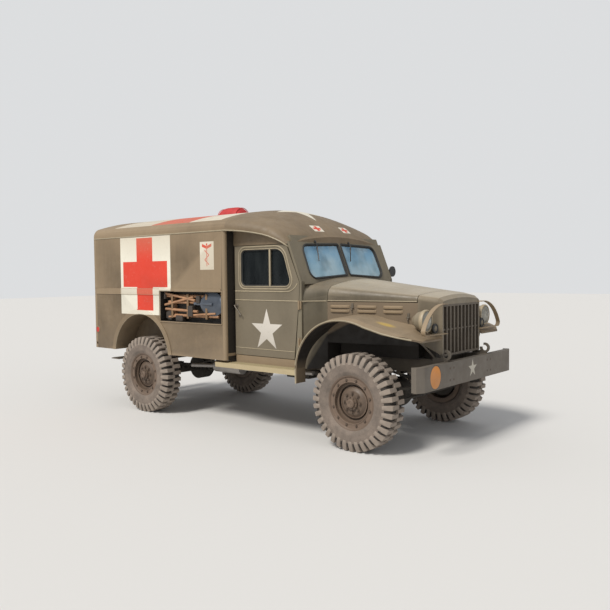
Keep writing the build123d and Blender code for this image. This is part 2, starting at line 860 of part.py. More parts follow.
def screen_openings():
    """The two windscreen openings, drawn on the screen's own plane."""
    with BuildSketch() as openings:
        for side in (LEFT, RIGHT):
            with BuildLine():
                Polyline(
                    (side * 18, 46),
                    (side * 655, 8),
                    (side * 640, screen_height - 30),
                    (side * 18, screen_height - 10),
                    close=True,
                )
            make_face()
        fillet(openings.vertices().filter_by(lambda v: abs(v.X) > 100), 90)
        fillet(openings.vertices().filter_by(lambda v: abs(v.X) < 19), 25)
    return openings.sketch


cowl_rows = (
    (cowl_rear_x, cab_half, 700, 1500, 1600, 150),
    (hood_rear_x, hood_rear_half, 700, 1500, 1578, 100),
)
with BuildPart() as cowl:
    add(shell(cowl_rows, 25, open_front=-15))
    for side in (LEFT, RIGHT):
        add(side_plate([(971, 700), (1066, 700), (1066, 1446), (1040, 1446)], (cab_half - 25, cab_half), side))
        add(
            side_plate(
                [(1040, 1446), (1066, 1446), (1066, 1565), (905, 1965), (876, 1965), (1040, 1560)],
                (cavity_half - gap, cab_half),
                side,
            )
        )
    with BuildSketch(screen_plane):
        with BuildLine():
            Polyline((-769, -40), (769, -40), (769, screen_height + 70), (-769, screen_height + 70), close=True)
        make_face()
        add(screen_openings(), mode=Mode.SUBTRACT)
    extrude(amount=-screen_thickness)
    block((1100, hood_rear_x + 1), (-152, 152), (699, 982), mode=Mode.SUBTRACT)
    block((1100, hood_rear_x + 1), (-400, 400), (699, 784), mode=Mode.SUBTRACT)
    add(roof.part, mode=Mode.SUBTRACT)
keep(cowl.part, "cowl")

with BuildPart() as windscreen_glass:
    with BuildSketch(screen_plane.offset(-screen_thickness / 2)):
        add(screen_openings())
    extrude(amount=glass_thickness)
    add(roof.part, mode=Mode.SUBTRACT)
    add(cowl.part, mode=Mode.SUBTRACT)
keep(windscreen_glass.part, "windscreen_glass")

# Floor of the cab and the load space, with the sills and the toe board.
spare_x = -400
spare_z = 1185
spare_radius = 462
with BuildPart() as floor:
    block((rail_rear_x, box_front_x), (-box_half + wall, box_half - wall), (floor_low, floor_top))
    block((box_front_x, 1190), (-cavity_half + gap, cavity_half - gap), (floor_low, floor_top))
    block((1185, hood_rear_x - 15), (-640, 640), (784, floor_top))
    block((690, hood_rear_x - 15), (-152, 152), (floor_top - 1, 982))
    block((702, hood_rear_x), (-140, 140), (floor_low - 10, 970), mode=Mode.SUBTRACT)
    for side in (LEFT, RIGHT):
        block(
            (rear_axle_x - arch_radius - panel, rear_axle_x + arch_radius + panel),
            pair(wheelhouse_inner, box_half, side),
            (floor_low - 1, floor_top + 1),
            mode=Mode.SUBTRACT,
        )
        block((door_rear_x, 965), pair(cavity_half - gap, cab_half - gap, side), (board_top, door_bottom - gap))
    block(
        (spare_x - spare_radius - 11, spare_x + spare_radius + 11),
        (wheelhouse_inner, box_half),
        (floor_low - 1, floor_top + 1),
        mode=Mode.SUBTRACT,
    )
    block((rail_rear_x, 690), (-rail_y, rail_y), (rail_top, floor_low))
    for side in (LEFT, RIGHT):
        block((970, hood_rear_x), pair(600, box_half, side), (600, floor_top + 1), mode=Mode.SUBTRACT)
keep(floor.part, "floor")


# Side walls: the box sides with the wheel arches and wheelhouses.
def side_wall(side):
    x = (box_rear_x + wall, box_front_x)
    with BuildPart() as side_wall_part:
        block(x, pair(box_half - wall, box_half, side), (skirt_z, eaves_z))
        fillet(
            side_wall_part.edges()
            .filter_by(Axis.Z)
            .sort_by_distance((box_front_x, side * box_half, 1500))[0],
            30,
        )
        block((x[0], -1700), pair(box_half - 1, box_half + belt_out, side), (belt_low, belt_high))
        block((-700, 60), pair(box_half - 1, box_half + belt_out, side), (belt_low, belt_high))
        for radius, inner_y, outer_y, mode in (
            (arch_radius + arch_lip, box_half - 10, box_half + 8, Mode.ADD),
            (arch_radius + panel, wheelhouse_inner, box_half - wall + 1, Mode.ADD),
            (arch_radius, wheelhouse_inner + panel, box_half + 20, Mode.SUBTRACT),
        ):
            rod_between((rear_axle_x, side * inner_y, arch_z), (rear_axle_x, side * outer_y, arch_z), radius, mode)
        block(
            (rear_axle_x - 700, rear_axle_x + 700),
            pair(wheelhouse_inner - 1, box_half + 20, side),
            (0, skirt_z),
            mode=Mode.SUBTRACT,
        )
    return side_wall_part.part


tool_x = (-960, 65)
tool_z = (1112, 1452)
tool_depth = 100
with BuildPart() as side_wall_right:
    add(side_wall(RIGHT))
    block(
        (tool_x[0] - 8, tool_x[1] + 8),
        (-box_half + wall, -box_half + tool_depth + 8),
        (tool_z[0] - 8, tool_z[1] + 8),
    )
    block(tool_x, (-box_half - 20, -box_half + tool_depth), tool_z, mode=Mode.SUBTRACT)
keep(side_wall_right.part, "side_wall_right")

well_inner = 690
with BuildPart() as side_wall_left:
    add(side_wall(LEFT))
    rod_between(
        (spare_x, well_inner - 8, spare_z), (spare_x, box_half - wall + 1, spare_z), spare_radius + 10
    )
    rod_between((spare_x, well_inner, spare_z), (spare_x, box_half + 20, spare_z), spare_radius, Mode.SUBTRACT)
    rod_between(
        (spare_x, well_inner - 1, spare_z),
        (spare_x, wheel_y + bolt_ring_out - 8, spare_z),
        spindle_radius - pin_clearance,
    )
keep(side_wall_left.part, "side_wall_left")

keep(wheel_at(spare_x, spare_z, LEFT), "spare_wheel")
keep(tyre_at(spare_x, spare_z, LEFT), "spare_tyre")

# Pioneer tools in the recess: an axe, a shovel and a pick handle in their clamps.
tool_y = -box_half + tool_depth - 32
with BuildPart() as pioneer_tools:
    for length_x, z in (((-920, -60), 1400), ((-880, -120), 1330), ((-900, -40), 1180)):
        rod_between((length_x[0], tool_y, z), (length_x[1], tool_y, z), 17)
    with BuildSketch(Plane.XZ.offset(-tool_y - 3)):
        with Locations((-30, 1320)):
            RectangleRounded(150, 220, 40)
    extrude(amount=6)
    block((-800, -780), (tool_y, -box_half + tool_depth + 0), (1160, 1420))
    block((-220, -200), (tool_y, -box_half + tool_depth + 0), (1160, 1420))
keep(pioneer_tools.part, "pioneer_tools")

# Bulkhead between the cab and the load space, with a doorway.
inner_shape = (
    box_half - roof_thickness - seat_gap,
    floor_top,
    roof_shoulder - roof_thickness - seat_gap,
    roof_crown - roof_thickness - seat_gap,
    roof_corner - roof_thickness / 2,
)
with BuildPart() as bulkhead:
    loft([arch_face(box_front_x - wall, *inner_shape), arch_face(box_front_x, *inner_shape)], ruled=True)
    add(side_wall_left.part, mode=Mode.SUBTRACT)
    add(side_wall_right.part, mode=Mode.SUBTRACT)
    block((0, 200), (-280, 280), (floor_top - 1, 2000), mode=Mode.SUBTRACT)
    block((box_front_x - wall, box_front_x), (-box_half + wall, box_half - wall), (skirt_z, floor_low - seat_gap))
    block((0, 200), (-rail_y, rail_y), (skirt_z - 1, floor_low), mode=Mode.SUBTRACT)
keep(bulkhead.part, "bulkhead")

# Rear wall: the frame round the two rear doors.
with BuildPart() as rear_wall:
    rear_shape = (inner_shape[0], skirt_z) + inner_shape[2:]
    loft([arch_face(box_rear_x, *rear_shape), arch_face(box_rear_x + wall, *rear_shape)], ruled=True)
    block((box_rear_x, box_rear_x + wall), (-box_half, box_half), (skirt_z, eaves_z))
    block(
        (box_rear_x - 1, box_rear_x + wall + 1),
        (-rear_door_half - 5, rear_door_half + 5),
        (rear_door_bottom - gap, rear_door_top + gap),
        mode=Mode.SUBTRACT,
    )
    block(
        (box_rear_x - 1, box_rear_x + wall + 1),
        (-rail_y - 1, rail_y + 1),
        (skirt_z - 1, floor_low),
        mode=Mode.SUBTRACT,
    )
    block((rail_rear_x, box_rear_x + wall + 1), (-box_half, box_half), (floor_low, floor_top), mode=Mode.SUBTRACT)
keep(rear_wall.part, "rear_wall")


# Rear doors: two leaves, each with a square window.
window_y = (220, 580)
window_z = (1500, 1860)


def rear_window(side, grow=0.0):
    with BuildSketch(Plane.YZ.offset(box_rear_x)) as window:
        with Locations((side * (window_y[0] + window_y[1]) / 2, (window_z[0] + window_z[1]) / 2)):
            RectangleRounded(window_y[1] - window_y[0], window_z[1] - window_z[0], 40)
    return window.sketch


def rear_door(side):
    with BuildPart() as door:
        block(
            (box_rear_x, box_rear_x + wall - 4),
            pair(3, rear_door_half, side),
            (rear_door_bottom, rear_door_top),
        )
        extrude(rear_window(side), amount=wall, mode=Mode.SUBTRACT)
    return door.part


def rear_glass(side):
    with BuildPart() as glass:
        extrude(rear_window(side), amount=glass_thickness)
    return glass.part.moved(Location((15, 0, 0)))


for side, name in ((LEFT, "left"), (RIGHT, "right")):
    keep(rear_door(side), f"rear_door_{name}")
    keep(rear_glass(side), f"rear_glass_{name}")

# Cab doors: one leaf each side with a window, its divider and glass.
door_points = [
    (door_rear_x, door_bottom),
    (965, door_bottom),
    (cowl_rear_x - gap, belt_z),
    (cowl_rear_x - gap, 1558),
    (868, 1950 - 15),
    (door_rear_x, door_top),
]
window_points = [(227, 1516), (935, 1516), (815, 1893), (227, 1893)]


def door_window():
    with BuildSketch() as window:
        with BuildLine():
            Polyline(*window_points, close=True)
        make_face()
        for i, radius in enumerate((60, 60, 130, 60)):
            corner = window.vertices().sort_by_distance((*window_points[i], 0))[0]
            fillet(corner, radius)
    return window.sketch


with BuildPart() as cab_door_right:
    with BuildSketch(Plane.XZ.offset(cab_half)) as outline:
        with BuildLine():
            Polyline(*door_points, close=True)
        make_face()
        fillet(outline.vertices().sort_by_distance((868, 1935, 0))[0], 60)
    extrude(amount=-cab_wall)
    with BuildSketch(Plane.XZ.offset(cab_half)):
        add(door_window())
    extrude(amount=-cab_wall, mode=Mode.SUBTRACT)
    block((632, 650), (-cab_half + 4, -cavity_half - 4), (1500, 1900))
keep(cab_door_right.part, "cab_door_right")
keep(left_of(cab_door_right.part), "cab_door_left")

with BuildPart() as cab_glass_right:
    with BuildSketch(Plane.XZ.offset(cab_half - cab_wall / 2)):
        add(door_window())
    extrude(amount=-glass_thickness)
    add(cab_door_right.part, mode=Mode.SUBTRACT)
keep(cab_glass_right.part, "cab_glass_right")
keep(left_of(cab_glass_right.part), "cab_glass_left")

# Mirror on the left door.
with BuildPart() as mirror_part:
    rod_between((940, cab_half - 1, 1571), (985, 930, 1640), 7)
    rod_between((978, 945, 1655), (994, 945, 1655), 62)
    add(left_of(cab_door_right.part), mode=Mode.SUBTRACT)
keep(mirror_part.part, "mirror")

# Seats in the cab and benches in the load space.
with BuildPart() as seats:
    for side in (LEFT, RIGHT):
        y = pair(160, 650, side)
        block((250, 700), y, (floor_top, 1010))
        block((240, 720), y, (1010, 1130))
        block((170, 260), y, (1130, 1620))
        fillet(seats.edges().filter_by(Axis.Y).group_by(Axis.Z)[-1], 30)
keep(seats.part, "seats")

with BuildPart() as benches:
    for side, front in ((LEFT, spare_x - spare_radius - 30), (RIGHT, tool_x[0] - 30)):
        block((box_rear_x + wall + 30, front), pair(620, box_half - wall - seat_gap, side), (1196, 1236))
        block((box_rear_x + wall + 30, front), pair(625, box_half - wall - 4, side), (1236, 1290))
        for x in (box_rear_x + wall + 60, front - 40):
            block((x, x + 40), pair(wheelhouse_inner - 35, wheelhouse_inner - 5, side), (floor_top, 1196))
keep(benches.part, "benches")

# Dashboard, steering column and steering wheel.
column_foot = Vector(1240, 400, 907)
wheel_centre = Vector(770, 400, 1400)
column_axis = (wheel_centre - column_foot).normalized()
with BuildPart() as dashboard:
    block((985, cowl_rear_x), (-cavity_half + 13, cavity_half - 13), (1250, 1480))
    block((cowl_rear_x, cowl_rear_x + 20), (-cavity_half - 10, cavity_half + 10), (1250, 1480))
    rod_between(tuple(column_foot), tuple(wheel_centre - column_axis * (20 + seat_gap)), 22)
    block((hood_rear_x - 15, hood_rear_x + 60), (350, 450), (800, 1000), mode=Mode.SUBTRACT)
    add(cowl.part, mode=Mode.SUBTRACT)
keep(dashboard.part, "dashboard")

wheel_plane = Plane(origin=wheel_centre, z_dir=column_axis)
with BuildPart() as steering_wheel:
    with Locations(Location(wheel_plane)):
        Torus(205, 12)
        Cylinder(34, 40)
        for turn in (30, 150, 270):
            with Locations(Location((0, 0, 0), (0, 0, turn))):
                with Locations((105, 0, 0)):
                    Box(190, 18, 10)
keep(steering_wheel.part, "steering_wheel")

# Roof ventilator and tail lamps.
with BuildPart() as ventilator:
    with BuildSketch(Plane.YZ.offset(-900)):
        with Locations((0, roof_crown - 30)):
            Circle(130)
    extrude(amount=380)
    add(roof.part, mode=Mode.SUBTRACT)
    block((-1200, -200), (-400, 400), (1500, roof_crown - 20), mode=Mode.SUBTRACT)
keep(ventilator.part, "ventilator")

with BuildPart() as tail_lamps:
    for side in (LEFT, RIGHT):
        rod_between((box_rear_x - 50, side * 860, 950), (box_rear_x - seat_gap, side * 860, 950), 48)
keep(tail_lamps.part, "tail_lamps")
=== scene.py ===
import math

import bmesh
import bpy
from mathutils import Matrix, Vector


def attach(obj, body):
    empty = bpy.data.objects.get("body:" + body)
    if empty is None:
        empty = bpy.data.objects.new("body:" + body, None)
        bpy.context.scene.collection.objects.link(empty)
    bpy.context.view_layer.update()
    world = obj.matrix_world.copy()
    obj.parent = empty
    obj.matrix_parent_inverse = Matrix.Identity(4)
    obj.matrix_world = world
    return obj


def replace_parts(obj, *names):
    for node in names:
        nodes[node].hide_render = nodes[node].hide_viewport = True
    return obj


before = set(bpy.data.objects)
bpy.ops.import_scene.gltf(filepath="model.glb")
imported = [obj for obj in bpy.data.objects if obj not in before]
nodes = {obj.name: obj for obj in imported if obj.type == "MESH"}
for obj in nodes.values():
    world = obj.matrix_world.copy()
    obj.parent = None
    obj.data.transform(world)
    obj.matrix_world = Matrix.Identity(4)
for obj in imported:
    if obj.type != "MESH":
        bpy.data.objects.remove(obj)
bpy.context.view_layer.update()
scene = bpy.context.scene

# Places that the CAD pieces have too, in metres: +X forward, +Y to the left, +Z up.
FRONT_AXLE_X, REAR_AXLE_X, WHEEL_Y, AXLE_Z = 1.733, -1.340, 0.8225, 0.452
SPARE_X, SPARE_Z = -0.400, 1.185
BOX_HALF, CAB_HALF = 0.954, 0.815
SIDES = (("right", -1), ("left", 1))
FORWARD, BACKWARD, LEFTWARD = (1, 0, 0), (-1, 0, 0), (0, 1, 0)

# Colours that more than one material has
RED = (0.70, 0.048, 0.020)
WHITE = (0.80, 0.76, 0.64)
BODY = (0.174, 0.124, 0.071)
DOOR = (0.104, 0.084, 0.053)
DUST = (0.36, 0.285, 0.20)
MUD = (0.115, 0.088, 0.062)
# Painted highlight on the hood's top, where it catches the sky
TOP_HIGHLIGHT = (0.52, 0.47, 0.365)
# Painted shade in wheel wells, soffits, the tool recess and the ledge at the front of the box
PAINTED_SHADE = (0.018, 0.014, 0.010)


# Materials
class Paint:
    """A material's node tree, with short calls for the nodes used here."""

    def __init__(self, name):
        self.material = bpy.data.materials.new(name)
        self.material.use_nodes = True
        self.tree = self.material.node_tree
        self.shader = self.tree.nodes["Principled BSDF"]
        coordinates = self.tree.nodes.new("ShaderNodeTexCoord")
        self.place = coordinates.outputs["Object"]
        split = self.tree.nodes.new("ShaderNodeSeparateXYZ")
        self.tree.links.new(self.place, split.inputs[0])
        self.x, self.y, self.z = split.outputs
        geometry = self.tree.nodes.new("ShaderNodeNewGeometry")
        self.pointiness = geometry.outputs["Pointiness"]
        split = self.tree.nodes.new("ShaderNodeSeparateXYZ")
        self.tree.links.new(coordinates.outputs["Normal"], split.inputs[0])
        self.up = split.outputs[2]

    def put(self, value, socket):
        if isinstance(value, bpy.types.NodeSocket):
            self.tree.links.new(value, socket)
        else:
            socket.default_value = value

    def sum(self, kind, *values):
        node = self.tree.nodes.new("ShaderNodeMath")
        node.operation = kind
        for value, socket in zip(values, node.inputs):
            self.put(value, socket)
        return node.outputs[0]

    def scaled(self, scale):
        node = self.tree.nodes.new("ShaderNodeMapping")
        self.tree.links.new(self.place, node.inputs[0])
        node.inputs["Scale"].default_value = scale
        return node.outputs[0]

    def noise(self, scale, detail=3.0, rough=0.55, stretch=None):
        node = self.tree.nodes.new("ShaderNodeTexNoise")
        self.tree.links.new(self.scaled(stretch) if stretch else self.place, node.inputs["Vector"])
        node.inputs["Scale"].default_value = scale
        node.inputs["Detail"].default_value = detail
        node.inputs["Roughness"].default_value = rough
        return node.outputs[0]

    def fade(self, value, low, high, to_low=0.0, to_high=1.0):
        node = self.tree.nodes.new("ShaderNodeMapRange")
        node.clamp = True
        for item, socket in zip((value, low, high, to_low, to_high), node.inputs):
            self.put(item, socket)
        return node.outputs[0]

    def mix(self, factor, a, b):
        node = self.tree.nodes.new("ShaderNodeMix")
        node.data_type = "RGBA"
        for item, socket in zip((factor, a, b), (node.inputs[0], node.inputs[6], node.inputs[7])):
            self.put((*item, 1.0) if isinstance(item, tuple) else item, socket)
        return node.outputs[2]

    def bump(self, height, distance, strength=1.0):
        node = self.tree.nodes.new("ShaderNodeBump")
        node.inputs["Distance"].default_value = distance
        node.inputs["Strength"].default_value = strength
        self.tree.links.new(height, node.inputs["Height"])
        return node.outputs[0]

    def done(self, colour, rough, normal=None, metallic=0.0, **uniform):
        self.put(colour, self.shader.inputs["Base Color"])
        self.put(rough, self.shader.inputs["Roughness"])
        self.shader.inputs["Metallic"].default_value = metallic
        if normal is not None:
            self.tree.links.new(normal, self.shader.inputs["Normal"])
        for key, value in uniform.items():
            self.shader.inputs[key.replace("_", " ")].default_value = value
        return self.material

    def all_of(self, *masks):
        result = masks[0]
        for mask in masks[1:]:
            result = self.sum("MULTIPLY", result, mask)
        return result

    def beyond(self, value, limit, soft=0.002):
        return self.fade(value, limit - soft, limit + soft)

    def below(self, value, limit, soft=0.002):
        return self.fade(value, limit - soft, limit + soft, 1.0, 0.0)

    def band(self, value, low, high, soft=0.0012):
        """1 where low < value < high."""
        return self.all_of(self.beyond(value, low, soft), self.below(value, high, soft))

    def off(self, a, b, centre):
        """The two offsets from a centre on the plane of a and b, and the distance."""
        da = self.sum("SUBTRACT", a, centre[0])
        db = self.sum("SUBTRACT", b, centre[1])
        squares = self.sum("ADD", self.sum("MULTIPLY", da, da), self.sum("MULTIPLY", db, db))
        return da, db, self.sum("SQRT", squares)

    def disc(self, a, b, centre, radius, soft=0.0015):
        return self.below(self.off(a, b, centre)[2], radius, soft)

    def star(self, a, b, centre, radius, turn=0.0, soft=0.0015):
        """A five-pointed star with a point up, on the plane of a and b."""
        da, db, far = self.off(a, b, centre)
        # Whole turns keep the angle above zero before it is folded into half a point.
        angle = self.sum("ADD", self.sum("ARCTAN2", da, db), 10 * math.pi + turn)
        fold = self.sum("PINGPONG", angle, math.pi / 5)
        along = self.sum("MULTIPLY", far, self.sum("COSINE", fold))
        across = self.sum("MULTIPLY", far, self.sum("SINE", fold))
        inner = radius * 0.382
        corner = (inner * math.cos(math.pi / 5), inner * math.sin(math.pi / 5))
        edge = Vector((corner[1], radius - corner[0])).normalized()
        reach = self.sum("ADD", self.sum("MULTIPLY", along, edge.x), self.sum("MULTIPLY", across, edge.y))
        return self.below(reach, radius * edge.x, soft)


def toned(colour, factor, lift=0.0):
    """A colour made darker or lighter."""
    return tuple(min(1.0, c * factor + lift) for c in colour)


def paint(name, base, dust=1.0, marks=(), rough=0.60, pale=0.5, painted_shades=()):
    """Weathered military paint: blotches, streaks, markings or painted highlights given as marks, dust, mud,
    a painted highlight on the edges, and painted shade in the creases and in the places given.
    """
    p = Paint(name)
    blotch = p.noise(1.7, 4.0, 0.6)
    fine = p.noise(26.0, 5.0, 0.65)
    streak = p.noise(7.0, 4.0, 0.6, stretch=(3.0, 3.0, 0.22))
    dark = toned(base, 0.74)
    light = toned(base, 1.28, 0.012)
    colour = p.mix(p.fade(blotch, 0.32, 0.68), dark, light)
    colour = p.mix(p.fade(streak, 0.45, 0.75, 0.0, 0.35), colour, light)
    colour = p.mix(p.fade(fine, 0.35, 0.75, 0.0, 0.25), colour, dark)
    for kind, mark in marks:
        worn = p.fade(p.noise(34.0, 6.0, 0.7), 0.30, 0.42)
        tone = p.mix(p.fade(blotch, 0.3, 0.7), toned(kind, 0.90), kind)
        colour = p.mix(p.all_of(mark(p), p.fade(worn, 0.0, 1.0, 0.82, 1.0)), colour, tone)
    lying = p.fade(p.up, 0.25, 0.95, 0.0, 0.42 * dust)
    grain = p.fade(p.noise(9.0, 6.0, 0.7), 0.3, 0.72)
    colour = p.mix(p.all_of(lying, p.fade(grain, 0.0, 1.0, 0.45, 1.0)), colour, DUST)
    low = p.fade(p.z, 0.60, 1.10, 0.75 * dust, 0.0)
    splash = p.fade(p.noise(12.0, 8.0, 0.72), 0.38, 0.62)
    colour = p.mix(p.all_of(low, p.fade(splash, 0.0, 1.0, 0.5, 1.0)), colour, MUD)
    # Painted highlight on the edges, as strong as pale
    edge = p.fade(p.pointiness, 0.52, 0.60, 0.0, pale)
    colour = p.mix(edge, colour, toned(base, 1.9, 0.03))
    # Painted shade in the creases
    crease = p.fade(p.pointiness, 0.40, 0.49, 0.55, 0.0)
    colour = p.mix(crease, colour, toned(base, 0.3))
    # Painted shade in the places given
    for shade in painted_shades:
        colour = p.mix(shade(p), colour, PAINTED_SHADE)
    height = p.sum("ADD", p.sum("MULTIPLY", fine, 0.35), p.sum("MULTIPLY", p.noise(2.3, 2.0), 0.9))
    roughness = p.fade(p.noise(14.0, 4.0), 0.3, 0.7, rough - 0.12, rough + 0.14)
    return p.done(colour, roughness, p.bump(height, 0.0035, 0.55))


def plain(name, colour, rough=0.6, metallic=0.0, vary=0.25, scale=18.0, bump=0.0006):
    """One colour with some variation and a painted highlight on the edges."""
    p = Paint(name)
    n = p.noise(scale, 5.0, 0.6)
    tone = p.mix(p.fade(n, 0.3, 0.7), toned(colour, 1 - vary), colour)
    # Painted highlight on the edges
    edge = p.fade(p.pointiness, 0.52, 0.60, 0.0, 0.35)
    tone = p.mix(edge, tone, toned(colour, 1.6, 0.02))
    return p.done(tone, p.fade(n, 0.3, 0.7, rough - 0.08, rough + 0.1), p.bump(n, bump), metallic)


def rubber(name):
    """Dusty rubber: mud in patches, a painted highlight on the edges and painted shade in the creases."""
    p = Paint(name)
    n = p.noise(7.0, 8.0, 0.7)
    fine = p.noise(60.0, 6.0, 0.7)
    colour = p.mix(p.fade(n, 0.35, 0.65, 0.25, 0.9), (0.095, 0.079, 0.067), (0.255, 0.202, 0.163))
    colour = p.mix(p.fade(fine, 0.45, 0.7, 0.0, 0.3), colour, (0.10, 0.085, 0.07))
    # Painted highlight on the edges
    edge = p.fade(p.pointiness, 0.51, 0.60, 0.0, 0.6)
    colour = p.mix(edge, colour, (0.34, 0.285, 0.235))
    # Painted shade in the creases
    crease = p.fade(p.pointiness, 0.36, 0.49, 0.85, 0.0)
    colour = p.mix(crease, colour, (0.03, 0.026, 0.022))
    return p.done(colour, 0.9, p.bump(fine, 0.002, 0.6))


def glass(name):
    """Dark dusty door glass."""
    p = Paint(name)
    streak = p.noise(9.0, 5.0, 0.6, stretch=(1.0, 1.0, 0.35))
    colour = p.mix(p.fade(streak, 0.35, 0.75), (0.004, 0.006, 0.007), (0.016, 0.020, 0.021))
    rough = p.fade(streak, 0.3, 0.8, 0.12, 0.3)
    return p.done(colour, rough, Alpha=0.90, IOR=1.45, Specular_IOR_Level=0.2)


def sky_reflection_glass(name):
    """Windscreen glass with a painted reflection of the sky on it, deeper towards the top and pale at the
    foot.
    """
    p = Paint(name)
    cloud = p.noise(3.2, 4.0, 0.55)
    colour = p.mix(p.fade(p.z, 1.60, 1.96), (0.30, 0.47, 0.56), (0.17, 0.36, 0.55))
    # Painted reflection of paler clouds
    colour = p.mix(p.fade(cloud, 0.42, 0.66, 0.0, 0.6), colour, (0.50, 0.62, 0.66))
    colour = p.mix(p.fade(p.noise(5.0, 2.0), 0.5, 0.75, 0.0, 0.45), colour, (0.09, 0.13, 0.14))
    return p.done(colour, 0.16, Alpha=0.93, IOR=1.45, Specular_IOR_Level=0.3)


# Markings: each is a mask made for the paint that it lies on
# The roof's markings lie above this
ROOF_Z = 2.19


def outside(p, limit=0.9505):
    """The body's outer skin, beyond a distance from the centre line."""
    return p.beyond(p.sum("ABSOLUTE", p.y), limit, 0.001)


def square(x, z):
    """A mask for a rectangle on a side wall, from its (low, high) X and Z."""
    return lambda p: p.all_of(p.band(p.x, *x), p.band(p.z, *z), outside(p))


def staff(p):
    """A winged staff: a rod with a knob, two wings and a curling line."""
    middle = -0.150
    rod = p.all_of(p.band(p.x, middle - 0.005, middle + 0.005), p.band(p.z, 1.73, 1.965))
    knob = p.disc(p.x, p.z, (middle, 1.965), 0.012)
    across = p.sum("SUBTRACT", p.x, middle)
    lean = p.sum("ABSOLUTE", across)
    slope = p.sum("MULTIPLY", lean, 0.35)
    rise = p.sum("SUBTRACT", p.sum("SUBTRACT", p.z, 1.915), slope)
    wing = p.all_of(p.band(lean, 0.006, 0.075), p.band(rise, 0.0, 0.032, 0.002))
    curl = p.sum("MULTIPLY", p.sum("SINE", p.sum("MULTIPLY", p.z, 62.0)), 0.028)
    away = p.sum("ABSOLUTE", p.sum("SUBTRACT", across, curl))
    snake = p.all_of(p.below(away, 0.007), p.band(p.z, 1.745, 1.905))
    figure = p.sum("MAXIMUM", p.sum("MAXIMUM", rod, knob), p.sum("MAXIMUM", wing, snake))
    return p.all_of(figure, outside(p))


def on_roof(x, y=0.892):
    """A patch of the box roof, from its (low, high) X and how far it reaches to each side."""
    return lambda p: p.all_of(p.band(p.x, *x), p.band(p.y, -y, y), p.beyond(p.z, ROOF_Z), p.beyond(p.up, 0.1))


def roof_star(p):
    """A star on the roof over the cab, turned a little."""
    star = p.star(p.y, p.x, (0.0, 0.30), 0.37, 0.2)
    return p.all_of(star, p.beyond(p.z, ROOF_Z), p.beyond(p.x, 0.13))


def plate(y, z):
    """A small plate on the front of the cab roof, from its (low, high) Y and Z."""
    return lambda p: p.all_of(p.band(p.y, *y), p.band(p.z, *z), p.beyond(p.x, 0.60))


def door_star(p):
    """The star on a cab door."""
    return p.all_of(p.star(p.x, p.z, (0.590, 1.058), 0.225), outside(p, 0.808))


def bumper_star(p):
    """The small star on the bumper's middle."""
    return p.all_of(p.star(p.y, p.z, (0.028, 0.728), 0.088), p.beyond(p.x, 2.46))


def oval(radius):
    """An upright oval on the bumper's right end, from half its height."""
    narrow = 1.10
    centre = (-0.680 * narrow, 0.724)
    return lambda p: p.all_of(
        p.disc(p.sum("MULTIPLY", p.y, narrow), p.z, centre, radius), p.beyond(p.x, 2.44)
    )


def fender_patch(p):
    """A soft yellow patch on the right fender's top."""
    narrow = 1.9
    return p.disc(p.x, p.sum("MULTIPLY", p.y, narrow), (1.985, -0.72 * narrow), 0.085, 0.03)


SIDE_MARKS = [
    (WHITE, square((-1.715, -0.765), (1.175, 2.095))),
    (RED, square((-1.393, -1.090), (1.225, 2.080))),
    (RED, square((-1.664, -0.824), (1.500, 1.802))),
    (WHITE, square((-0.260, -0.040), (1.693, 1.995))),
    (RED, staff),
]
ROOF_MARKS = [
    (WHITE, on_roof((-1.91, 0.02))),
    (RED, on_roof((-1.18, -0.50))),
    (RED, on_roof((-1.80, -0.09), 0.33)),
    (WHITE, roof_star),
]
for middle in (-0.235, 0.258):
    ROOF_MARKS += [
        (WHITE, plate((middle - 0.075, middle + 0.075), (2.086, 2.152))),
        (RED, plate((middle - 0.020, middle + 0.020), (2.092, 2.146))),
        (RED, plate((middle - 0.058, middle + 0.058), (2.110, 2.128))),
    ]
DOOR_MARKS = [((1.0, 0.95, 0.88), door_star)]
BUMPER_MARKS = [
    (WHITE, bumper_star),
    ((0.03, 0.026, 0.02), oval(0.111)),
    ((1.0, 0.33, 0.01), oval(0.100)),
]
FENDER_MARKS = [((0.50, 0.34, 0.05), fender_patch)]


# Painted shade and a painted highlight: masks as well
def under_fender(p):
    """Painted shade on the fender's own underside."""
    return p.all_of(p.below(p.up, -0.05, 0.2), p.below(p.z, 1.24, 0.01))


def recess_inside(p):
    """Painted shade on the inside of the tool recess."""
    return p.all_of(p.band(p.x, -0.970, 0.075), p.band(p.z, 1.102, 1.462), p.beyond(p.y, -0.9515))


def ledge(p):
    """Painted shade on the box's front face beside the cab."""
    return p.all_of(p.beyond(p.x, 0.112), p.beyond(p.sum("ABSOLUTE", p.y), 0.800))


def soffit(p):
    """Painted shade on the underside of the roof over the cab doors."""
    return p.all_of(p.below(p.up, -0.15, 0.15), p.beyond(p.x, 0.10))


def fender_well(p):
    """Painted shade on what shows of the cowl behind the front wheel, under the fender's curve."""
    curve = p.sum("SUBTRACT", p.z, p.sum("MULTIPLY", p.x, 2.07))
    return p.all_of(p.beyond(p.x, 1.090), p.below(curve, -1.540, 0.02))


def apron(p):
    """Painted shade on the hood side below the fender's inner edge."""
    rear = p.sum("ADD", p.sum("MULTIPLY", p.x, 0.5), 0.415)
    front = p.sum("SUBTRACT", 1.575, p.sum("MULTIPLY", p.x, 0.205))
    limit = p.sum("MINIMUM", 1.172, p.sum("MINIMUM", rear, front))
    return p.below(p.sum("SUBTRACT", p.z, limit), 0.0, 0.012)


def painted_top_highlight(p):
    """Painted highlight where the hood's top catches the sky."""
    patches = p.fade(p.noise(1.6, 2.0, 0.5), 0.3, 0.7, 0.60, 0.90)
    return p.all_of(p.fade(p.up, 0.72, 0.98), patches)


